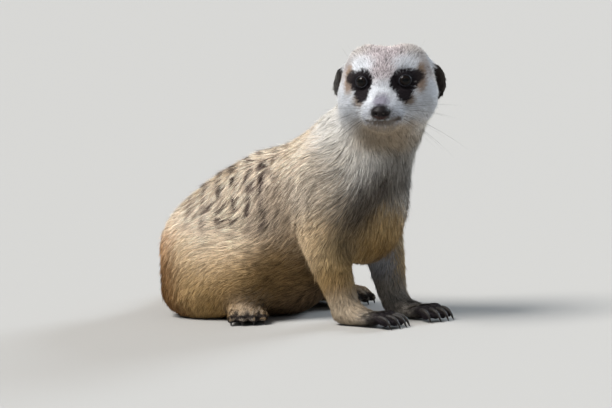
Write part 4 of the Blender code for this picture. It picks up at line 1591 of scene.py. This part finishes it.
@dataclass
class Turf:
    """The skin as triangles that tufts are scattered over, each in one section."""

    build: Build
    skin: Skin

    def __post_init__(self) -> None:
        """Reads the skin's triangles, their map and their sections."""
        mesh = self.skin.piece.data
        mesh.calc_loop_triangles()
        uv = rows_of(mesh.uv_layers["OFBake"].data, "uv", 2)
        self.places, self.normals = points_of(mesh), normals_of(mesh)
        self.corners = rows_of(mesh.loop_triangles, "vertices", 3, np.int32)
        self.uv = uv[rows_of(mesh.loop_triangles, "loops", 3, np.int32)]
        a, b, c = (self.places[self.corners[:, n]] for n in range(3))
        self.middles = (a + b + c) / 3
        across = np.cross(b - a, c - a)
        self.areas, self.facing = np.linalg.norm(across, axis=1) / 2, unit(across)
        self.tree = BVHTree.FromPolygons(self.places.tolist(), self.corners.tolist())
        self.sections = self._sort()
        self.bare = self.skin.bare(self.middles)

    def _sort(self) -> Array:
        """Gives each triangle the section that its nearest node and its place call for.

        Returns:
            The number of a section for each triangle.
        """
        verts, faces, owners = [], [], []
        for node in FLESH:
            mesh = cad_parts[node].data
            start = len(verts)
            verts.extend(vert.co[:] for vert in mesh.vertices)
            faces.extend([start + n for n in polygon.vertices] for polygon in mesh.polygons)
            owners.extend([node] * len(mesh.polygons))
        tree = BVHTree.FromPolygons(verts, faces)
        nodes = [owners[tree.find_nearest(middle)[2]] for middle in self.middles.tolist()]
        spots, on_head = self.build.body.local(self.middles), self.build.head.local(self.middles)
        order = list(Section)
        rows = zip(nodes, spots.tolist(), on_head.tolist(), self.facing[:, 2].tolist())
        return np.array([order.index(self._section(*row)) for row in rows])

    @staticmethod
    def _section(node: str, spot: Spot, on_head: Spot, up: float) -> Section:
        """The section of one triangle.

        Args:
            node: the node that is nearest.
            spot: its middle along the body's axes.
            on_head: its middle along the head's axes.
            up: how much it faces up.

        Returns:
            The section.
        """
        limb = node.split("_")[0]
        whole = {"ear": Section.EARS, "neck": Section.NECK, "tail": Section.TAIL,
                 "forefoot": Section.FEET, "hindfoot": Section.FEET}
        if limb in whole:
            return whole[limb]
        if limb == "head":
            return Section.FACE if on_head[0] > 7 - 0.25 * abs(on_head[1]) else Section.CROWN
        if limb != "trunk":
            return Section[node.upper()]
        if up < -0.55 or spot[2] < 10:
            return Section.BELLY
        if spot[0] > 48:
            return Section.CHEST
        if up > 0.52:
            return Section.BACK
        return Section.FLANK_RIGHT if spot[1] < 0 else Section.FLANK_LEFT

    def scatter(self, section: Section, draw: np.random.Generator) -> tuple[Array, Array, Array]:
        """Sows roots evenly over one section.

        Args:
            section: which one.
            draw: the source of chance.

        Returns:
            Places, normals and map places of the roots.
        """
        chosen = np.nonzero((self.sections == list(Section).index(section)) & ~self.bare)[0]
        hidden = (self.middles[chosen, 2] < 0.004) & (self.facing[chosen, 2] < -0.6)
        weight = self.areas[chosen] * np.where(hidden, 0.25, 1.0) / (section.value.spacing * MM)**2
        total = np.cumsum(weight)
        count = int(total[-1])
        picks = np.searchsorted(total, (np.arange(count) + draw.random(count)) * total[-1] / count)
        triangles = chosen[np.minimum(picks, len(chosen) - 1)]
        a, b = draw.random(count), draw.random(count)
        flip = a + b > 1
        a, b = np.where(flip, 1 - a, a), np.where(flip, 1 - b, b)
        share = np.stack([1 - a - b, a, b], 1)[:, :, None]
        corners = self.corners[triangles]
        return ((self.places[corners] * share).sum(1), unit((self.normals[corners] * share).sum(1)),
                (self.uv[triangles] * share).sum(1))

    def drop(self, places: Array) -> tuple[Array, Array]:
        """The nearest places on the skin, and its normals there.

        Args:
            places: one place a row.

        Returns:
            Places on the skin, and normals.
        """
        found = [self.tree.find_nearest(place) for place in places.tolist()]
        return np.array([hit[0][:] for hit in found]), np.array([hit[1][:] for hit in found])


@dataclass
class Coat:
    """The hair: thin closed tufts, thousands to a piece, that lie along the skin.

    A stray is a tuft that is longer and thinner than the rest and stands higher. The ranges say
    between which shares of the coat's own length, depth and width the tufts vary. The turns are in
    radians: one that neighbouring tufts share, and one that is each tuft's own.
    """

    turf: Turf
    groom: Groom
    markings: Markings
    patch: float = 0.0014
    lengths: tuple[float, float] = (0.8, 1.25)
    lifts: tuple[float, float] = (0.45, 1.15)
    widths: tuple[float, float] = (0.7, 1.3)
    shared_turn: float = 0.13
    own_turn: float = 0.12
    lock_spread: float = 0.22
    slender: float = 0.24
    first_step: float = 0.45
    widest: float = 0.45
    keel: float = 0.18
    roll: float = 0.22
    rooted: float = 0.15
    floor_gap: float = 0.0003
    strays: float = 0.10
    stray_length: float = 1.25
    stray_lift: float = 1.7
    stray_width: float = 0.5
    dark_shaft: float = 0.45
    dark_tip: float = 0.32
    total: int = 0

    def make(self) -> list[bpy.types.Object]:
        """Grows and dresses every section.

        Returns:
            The pieces of the coat.
        """
        fur = Fur().make()
        pieces = []
        for section in Section:
            piece = self._grow(section)
            piece.data.materials.append(fur)
            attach(piece, BODY_NAME)
            pieces.append(piece)
        return pieces

    def _grow(self, section: Section) -> bpy.types.Object:
        """Grows one section's tufts.

        Args:
            section: which one.

        Returns:
            The piece.
        """
        pelt = section.value
        draw = np.random.default_rng(pelt.seed)
        roots, up, uv = self.turf.scatter(section, draw)
        count = len(roots)
        way, length, depth = self.groom.read(roots)
        stray = draw.random(count) < self.strays
        length = length * draw.uniform(*self.lengths, count) * np.where(stray, self.stray_length, 1)
        turn = self.shared_turn * Waves(9 * MM, 40 + pelt.seed).at(roots)
        turn = turn + self.own_turn * draw.normal(size=count)
        way = swing(flat_to(way, up), up, turn)
        lift = depth * (0.86 + 0.10 * Waves(6 * MM, 60).at(roots))
        over = depth[:, None] * 0.5
        step = (self.first_step * length)[:, None]
        ground, high = self.turf.drop(roots + way * step + up * over)
        onward = swing(flat_to(self.groom.read(ground)[0], high), high, turn)
        step = ((1 - self.first_step) * length)[:, None]
        ground, tip_up = self.turf.drop(ground + onward * step + high * over)
        lift = lift * draw.uniform(*self.lifts, count) * np.where(stray, self.stray_lift, 1)
        tip = ground + tip_up * lift[:, None]
        leader = self._leaders(roots, pelt, draw)
        tip = mix(tip, tip[leader] + self.lock_spread * (roots - roots[leader]), pelt.gather)
        shade = self._shade(roots, leader, pelt.speckle, draw)
        return self._weave(pelt, roots, tip, up, high, uv, length, shade, draw, stray)

    @staticmethod
    def _leaders(roots: Array, pelt: Pelt, draw: np.random.Generator) -> Array:
        """Picks the tufts that locks gather round, and each root's nearest.

        Args:
            roots: the roots' places.
            pelt: the section's sizes.
            draw: the source of chance.

        Returns:
            The leader's number for each root.
        """
        count = max(1, int(len(roots) * (pelt.spacing / pelt.clump)**2))
        chosen = draw.permutation(len(roots))[:count]
        tree = KDTree(count)
        for n, place in zip(chosen.tolist(), roots[chosen].tolist()):
            tree.insert(place, n)
        tree.balance()
        return np.array([tree.find(place)[1] for place in roots.tolist()])

    @staticmethod
    def _shade(roots: Array, leader: Array, speckle: float, draw: np.random.Generator) -> Array:
        """How bright each tuft is against its neighbours.

        Args:
            roots: the roots' places.
            leader: each root's leader.
            speckle: how much they vary.
            draw: the source of chance.

        Returns:
            One factor a tuft.
        """
        own, lock = draw.normal(size=len(roots)), draw.normal(size=len(roots))[leader]
        power = speckle * own + 0.3 * speckle * lock + 0.03 * Waves(11 * MM, 70).at(roots)
        return np.clip(np.exp(power - 0.2 * speckle), 0.3, 1.5)

    def _weave(self, pelt: Pelt, roots: Array, tip: Array, up: Array, high: Array, uv: Array,
               length: Array, shade: Array, draw: np.random.Generator,
               stray: Array) -> bpy.types.Object:
        """Makes the tufts' mesh: each is thin, closed and straight, widest near its middle.

        Args:
            pelt: the section's sizes.
            roots: where the tufts start.
            tip: where they end.
            up: the skin's normals at the roots.
            high: the skin's normals under the middles.
            uv: the roots' places in the map.
            length: the tufts' lengths.
            shade: their brightness.
            draw: the source of chance.
            stray: which of them are strays.

        Returns:
            The piece.
        """
        count = len(roots)
        run = unit(tip - roots)
        level = unit(np.cross(high, run))
        roll = draw.normal(size=count)[:, None] * self.roll
        side = level * np.cos(roll) + np.cross(run, level) * np.sin(roll)
        width = np.minimum(pelt.width * MM, self.slender * length)
        width = width * draw.uniform(*self.widths, count) * np.where(stray, self.stray_width, 1)
        width = width[:, None]
        middle = mix(roots, tip, self.widest) + np.cross(run, side) * (self.keel * width)
        half = side * width / 2
        corners = np.stack([roots - up * self.rooted * MM, middle + half, middle - half, tip], 1)
        corners[:, :, 2] = np.maximum(corners[:, :, 2], self.floor_gap)
        faces = np.array([[0, 2, 1], [3, 1, 2], [0, 1, 3], [0, 3, 2]])
        triangles = (faces[None] + 4 * np.arange(count)[:, None, None]).reshape(-1, 3)
        piece = from_arrays(pelt.piece, corners.reshape(-1, 3), triangles, False)
        seen = mix(middle, tip, 0.3)
        shaft, end, ticked = self.markings.read(seen, self.groom.head_share(seen))
        dark = (draw.random(count) < ticked)[:, None]
        end = np.where(dark, self.dark_tip * end, end) * shade[:, None]
        shaft = np.where(dark, self.dark_shaft * shaft, shaft)
        # Roots darker than the shaft: partly darker underfur, partly painted shade between the
        # tufts.
        underfur_and_shade = 0.6 if pelt.speckle > 0.1 else 0.72
        root, shaft = underfur_and_shade * shaft * shade[:, None], shaft * shade[:, None]
        paint(piece.data, np.stack([root, shaft, shaft, end], 1).reshape(-1, 3))
        self._map(piece.data, uv, triangles)
        self.total += len(triangles)
        return piece

    def _map(self, mesh: bpy.types.Mesh, uv: Array, triangles: Array) -> None:
        """Lays each tuft on a small patch of the skin's own map.

        Args:
            mesh: the tufts' mesh.
            uv: the roots' places in the map.
            triangles: the mesh's triangles.
        """
        layer = mesh.uv_layers.new(name="OFBake")
        offsets = np.array([[0, -1], [1, 0.1], [-1, 0.1], [0, 1]]) * self.patch
        spots = np.clip(uv, 0.002, 0.998)[:, None] + offsets[None]
        spots = spots.reshape(-1, 2)[triangles.ravel()].astype(np.float32)
        layer.data.foreach_set("uv", spots.ravel())


# ---- Eyes, nose, claws and whiskers ----

@dataclass
class Eye:
    """One eyeball with its clear bulge, and the bare rim of its lids."""

    build: Build
    side: str
    bulge: float = 0.055
    rim: float = 0.34
    rim_segments: int = 10
    rim_steps: int = 64

    def make(self) -> list[bpy.types.Object]:
        """Builds and dresses the eye.

        Returns:
            The eyeball and the rim.
        """
        axes = self.build.eye_axes(self.side)
        place = Matrix.Translation(Vector(axes.origin)) @ Matrix(axes.ways.T.tolist()).to_4x4()
        ball = self._ball(place)
        gloss = EyeGloss(axes, f"eye_gloss_{self.side}", self.build.eye_radius * MM)
        ball.data.materials.append(gloss.make())
        rim = self._rim(place)
        rim.data.materials.append(LidSkin().make())
        for piece, slot in ((ball, "eye"), (rim, "fur_dark")):
            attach(piece, BODY_NAME)
        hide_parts(f"eye_{self.side}")
        return [ball, rim]

    def _ball(self, place: Matrix) -> bpy.types.Object:
        """The eyeball, round but for a slight bulge in front.

        Args:
            place: its centre and its axes.

        Returns:
            The object.
        """
        bm = bmesh.new()
        radius = self.build.eye_radius * MM
        bmesh.ops.create_uvsphere(bm, u_segments=56, v_segments=40, radius=radius)
        ahead = Euler((0, math.pi / 2, 0)).to_matrix()
        bmesh.ops.rotate(bm, verts=bm.verts, cent=(0, 0, 0), matrix=ahead)
        for vert in bm.verts:
            ahead = vert.co.normalized().x
            vert.co *= 1 + self.bulge * float(ramp(np.array(ahead), 0.62, 1.0))
        bmesh.ops.transform(bm, matrix=place, verts=bm.verts)
        return from_bmesh(f"eyeball_{self.side}", bm)

    def _rim(self, place: Matrix) -> bpy.types.Object:
        """The lids' bare edge: a thin roll spun about the eye and drawn to the almond.

        Args:
            place: the eye's centre and its axes.

        Returns:
            The object.
        """
        radius = self.build.eye_radius * MM
        bm = bmesh.new()
        bmesh.ops.create_circle(bm, segments=self.rim_segments, radius=self.rim * MM)
        bmesh.ops.translate(bm, verts=bm.verts, vec=(0, radius, 0))
        bmesh.ops.spin(bm, geom=bm.verts[:] + bm.edges[:], cent=(0, 0, 0), axis=(1, 0, 0),
                       steps=self.rim_steps, angle=2 * math.pi, use_merge=True)
        for vert in bm.verts:
            around = math.atan2(vert.co.z, vert.co.y)
            off = math.hypot(vert.co.y, vert.co.z) - radius
            edge = float(self.build.aperture.edge(np.array(around), SIDES[self.side])) + 0.045
            spoke = np.array([math.cos(around), math.sin(around)])
            out = Vector((math.cos(edge), *(math.sin(edge) * spoke)))
            along = Vector((-math.sin(edge), *(math.cos(edge) * spoke)))
            corner = 1.0 + 0.5 * abs(math.cos(around))**6
            vert.co = out * (radius + 0.12 * MM + vert.co.x * 0.9) + along * off * corner
        bmesh.ops.transform(bm, matrix=place, verts=bm.verts)
        return from_bmesh(f"lid_rim_{self.side}", bm)


@dataclass
class NosePad:
    """The bare nose pad with its nostrils and the cleft below them."""

    build: Build
    nostril: Spot = (3.3, 2.5, -0.6)
    slit: tuple[Spot, ...] = ((0, 0, 0), (-0.9, 1.5, -0.5), (-2.8, 2.3, 0.4))

    def make(self) -> bpy.types.Object:
        """Builds and dresses the pad.

        Returns:
            The piece.
        """
        bm = bmesh.new()
        bmesh.ops.create_icosphere(bm, subdivisions=6, radius=1.0)
        ways = np.array([vert.co[:] for vert in bm.verts])
        axes = Axes(self.build.head.at(self.build.nose), self.build.head.ways)
        for vert, place in zip(bm.verts, axes.at(self._shape(ways))):
            vert.co = place
        piece = from_bmesh("nose_pad", bm)
        piece.data.materials.append(NoseLeather(axes).make())
        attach(piece, BODY_NAME)
        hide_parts("nose")
        return piece

    def _shape(self, ways: Array) -> Array:
        """The pad's surface, in millimetres from its middle.

        Args:
            ways: directions from the middle.

        Returns:
            One place a direction.
        """
        spots = ways * np.array(self.build.nose_radii)
        blunt = spots[:, 0] * (1 - 0.10 * (spots[:, 1] / 5)**2)
        spots[:, 0] = np.where(spots[:, 0] > 0, blunt, spots[:, 0])
        spots[:, 1] *= 1 - 0.24 * ramp(-spots[:, 2], 0.5, 3.8)
        spots[:, 2] += 0.35 * bell(spots[:, 1], 0, 2.2) * ramp(spots[:, 2], 1, 3.5)
        inward = np.zeros(len(spots))
        for sign in SIDES.values():
            middle = sided(self.nostril, sign)
            away = (spots - middle) / [2.2, 1.15, 1.05]
            inward += 2.1 * np.exp(-(away**2).sum(1) * 1.15)
            line = middle + np.array([sided(turn, sign) for turn in self.slit])
            inward += 0.75 * bell(near_line(spots, line), 0, 0.55)
            rim = np.linalg.norm((spots - middle - [0, sign * 0.3, 1.5]) / [2, 1.8, 0.7], axis=1)
            inward -= 0.32 * bell(rim, 0, 1)
        cleft = 0.5 * bell(spots[:, 1], 0, 0.38) * ramp(-spots[:, 2], -0.6, 0.8)
        inward += cleft * ramp(spots[:, 0], 0, 1.5)
        return spots - ways * inward[:, None]


@dataclass
class Claws:
    """All sixteen claws, rounded off from the frame's own."""

    roundings: int = 2
    proud: float = 0.22 * MM

    def make(self) -> list[bpy.types.Object]:
        """Builds and dresses the fore and hind claws.

        Returns:
            The two pieces.
        """
        horn = Horn().make()
        pieces = []
        for limb in ("fore", "hind"):
            nodes = [f"{limb}claw_{side}_{n}" for side in SIDES for n in DIGITS]
            bm = swollen(nodes, self.proud)
            piece = from_bmesh(f"claws_{limb}", bm)
            piece.data.materials.clear()
            piece.data.materials.append(horn)
            rounded = piece.modifiers.new("Rounded", "SUBSURF")
            rounded.levels = self.roundings
            rounded.render_levels = self.roundings
            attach(piece, BODY_NAME)
            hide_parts(*nodes)
            pieces.append(piece)
        return pieces


@dataclass
class Whiskers:
    """The long stiff hairs of the muzzle and brows."""

    build: Build
    turf: Turf
    markings: Markings
    thick: float = 0.075
    knots: int = 8
    seed: int = 90
    root_shade: RGB = (0.03, 0.025, 0.025)
    tip_shade: RGB = (0.10, 0.09, 0.085)

    def make(self) -> bpy.types.Object:
        """Builds and dresses the whiskers.

        Returns:
            The piece.
        """
        draw = np.random.default_rng(self.seed)
        lines, radii = [], []
        for sign in SIDES.values():
            for n, root in enumerate(self.markings.whisker_roots(sign)):
                row, place = divmod(n, self.markings.rows)
                reach = (11 + 5.5 * place) * draw.uniform(0.85, 1.2) * (1.25 if sign > 0 else 1)
                way = unit(np.array([0.28 - 0.26 * place, sign, 0.14 - 0.22 * row]))
                lines.append(self._line(root, way, reach, 0.14 + 0.05 * row, draw))
                radii.append(self.thick * (0.75 + 0.12 * place))
            for place in range(3):
                root = np.array([18 - 1.5 * place, sign * (10 + 2.5 * place), 11.0])
                way = unit(np.array([0.1, sign * 0.7, 1.0]))
                lines.append(self._line(root, way, 12 + 3 * place, -0.10, draw))
                radii.append(self.thick * 0.7)
        piece = self._tubes("whiskers", np.array(lines), np.array(radii))
        piece.data.materials.append(Whisker().make())
        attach(piece, BODY_NAME)
        return piece

    def _line(self, root: Array, way: Array, reach: float, droop: float,
              draw: np.random.Generator) -> Array:
        """One whisker's points, from the skin outwards.

        Args:
            root: about where it starts, in the head's axes.
            way: where it points.
            reach: its length in millimetres.
            droop: how much it bends down.
            draw: the source of chance.

        Returns:
            Its points in the frame.
        """
        start = self.turf.drop(self.build.head.at(root)[None])[0][0]
        way = unit(way + draw.normal(size=3) * 0.07)
        steps = np.linspace(0, 1, self.knots)[:, None]
        path = way * steps * reach + np.array([-0.22, 0, -droop]) * steps**2 * reach
        return start + self.build.head.turn(path) * MM - self.build.head.turn(way) * 0.5 * MM

    def _tubes(self, name: str, lines: Array, radii: Array) -> bpy.types.Object:
        """Thin closed tapering tubes along lines.

        Args:
            name: the piece's name.
            lines: the points of every line.
            radii: each line's radius at its root, in millimetres.

        Returns:
            The piece.
        """
        count, knots = lines.shape[:2]
        run = unit(np.gradient(lines, axis=1))
        side = unit(np.cross(run, [0.03, 0.02, 1.0]))
        other = np.cross(run, side)
        taper = (1 - np.linspace(0, 1, knots)**1.5 * 0.9)[None, :, None]
        size = radii[:, None, None] * MM * taper
        turns = [0, 2 * math.pi / 3, 4 * math.pi / 3]
        rings = np.stack([lines + size * (math.cos(t) * side + math.sin(t) * other)
                          for t in turns], 2)
        ends = lines[:, -1:] + run[:, -1:] * 0.4 * MM
        places = np.concatenate([rings.reshape(count, -1, 3), ends], 1)
        faces = [[2, 1, 0]]
        for k in range(knots - 1):
            for n in range(3):
                a, b = 3 * k + n, 3 * k + (n + 1) % 3
                faces += [[a, b, b + 3], [a, b + 3, a + 3]]
        last = 3 * (knots - 1)
        faces += [[last + n, last + (n + 1) % 3, 3 * knots] for n in range(3)]
        starts = (3 * knots + 1) * np.arange(count)[:, None, None]
        triangles = (np.array(faces)[None] + starts).reshape(-1, 3)
        piece = from_arrays(name, places.reshape(-1, 3), triangles)
        shade = np.tile(np.append(np.repeat(np.linspace(0, 1, knots), 3), 1.0), count)
        paint(piece.data, mix(np.array([self.root_shade]), np.array([self.tip_shade]), shade))
        return piece


# ---- The studio ----

@dataclass
class Studio:
    """The pale floor, the soft light and the camera."""

    build: Build
    floor_radius: float = 14.0
    sky_colour: RGB = (0.84, 0.92, 1.0)
    sky_strength: float = 0.32
    lamp_at: Spot = (900, -900, 1000)
    lamp_aim: Spot = (60, 0, 130)
    azimuth: float = math.radians(-52)
    elevation: float = math.radians(6)
    roll: float = math.radians(2)
    distance: float = 2.4
    lens: float = 235.3
    target: Spot = (-0.18, 8.68, 66.14)

    def make(self) -> None:
        """Sets the whole studio up."""
        self._floor()
        self._light()
        self._camera()

    def _floor(self) -> None:
        """Lays a wide pale floor under the animal."""
        bm = bmesh.new()
        bmesh.ops.create_circle(bm, cap_ends=True, segments=96, radius=self.floor_radius)
        floor = from_bmesh("floor", bm, smooth=False)
        floor.data.materials.append(PaleFloor().make())

    def _light(self) -> None:
        """Hangs a broad soft light above, a cool one opposite, a lamp for the eyes, and a sky."""
        world = bpy.data.worlds.new("studio")
        world.use_nodes = True
        sky = world.node_tree.nodes["Background"]
        sky.inputs["Color"].default_value = (*self.sky_colour, 1)
        sky.inputs["Strength"].default_value = self.sky_strength
        bpy.context.scene.world = world
        self._sun("daylight", (-0.52, 0.28, 0.85), 4.9, 30, (1.0, 0.98, 0.95))
        self._sun("behind", (0.92, -0.12, 0.36), 3.0, 25, (0.80, 0.90, 1.0))
        lamp = bpy.data.lights.new("catch_light", "AREA")
        lamp.energy = 0.5
        lamp.size = 0.35
        lamp.color = (0.97, 0.99, 1.0)
        piece = new_object("catch_light", lamp)
        piece.location = self.build.body.at(self.lamp_at)
        away = piece.location - Vector(self.build.body.at(self.lamp_aim))
        piece.rotation_euler = away.to_track_quat("Z", "Y").to_euler()

    @staticmethod
    def _sun(name: str, towards: Spot, strength: float, spread: float, colour: RGB) -> None:
        """Hangs one soft distant light.

        Args:
            name: its name.
            towards: the direction to it.
            strength: its power.
            spread: how wide it is, in degrees.
            colour: its colour.
        """
        lamp = bpy.data.lights.new(name, "SUN")
        lamp.energy = strength
        lamp.angle = math.radians(spread)
        lamp.color = colour
        new_object(name, lamp).rotation_euler = Vector(towards).to_track_quat("Z", "Y").to_euler()

    def _camera(self) -> None:
        """Stands the camera at the viewing angle."""
        lens = bpy.data.cameras.new("camera")
        lens.sensor_width = 36
        lens.lens = self.lens
        lens.clip_start = 0.05
        lens.clip_end = 60
        camera = new_object("camera", lens)
        a, e, r = self.azimuth, self.elevation, self.roll
        back = Vector((math.sin(a) * math.cos(e), -math.cos(a) * math.cos(e), math.sin(e)))
        right = Vector((math.cos(a), math.sin(a), 0))
        up = back.cross(right)
        right, up = right * math.cos(r) - up * math.sin(r), right * math.sin(r) + up * math.cos(r)
        turn = Matrix((right, up, back)).transposed()
        place = Vector(self.build.body.at(self.target)) + back * self.distance
        camera.matrix_world = Matrix.Translation(place) @ turn.to_4x4()
        bpy.context.scene.camera = camera
        bpy.context.scene.view_settings.view_transform = "Standard"


def sweep() -> None:
    """Takes away whatever stood in the scene before the frame came."""
    for leftover in ("Cube", "Light", "Camera"):
        if leftover in bpy.data.objects:
            bpy.data.objects.remove(bpy.data.objects[leftover])


def report(piece: bpy.types.Object) -> None:
    """Says a piece's name and how many faces it has."""
    LOG.info("%s: %d faces", piece.name, len(piece.data.polygons))


def main() -> None:
    """Builds the animal piece by piece, then the studio."""
    logging.basicConfig(level=logging.INFO, format="%(message)s")
    sweep()
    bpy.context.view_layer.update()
    build = Build.measured()
    groom, markings = Groom(build), Markings(build)
    skin = Skin(build, groom, markings)
    report(skin.make())
    turf = Turf(build, skin)
    coat = Coat(turf, groom, markings)
    for piece in coat.make():
        report(piece)
    LOG.info("coat: %d triangles", coat.total)
    for side in SIDES:
        for piece in Eye(build, side).make():
            report(piece)
    report(NosePad(build).make())
    for piece in Claws().make():
        report(piece)
    report(Whiskers(build, turf, markings).make())
    Studio(build).make()


if __name__ == "__main__":
    main()
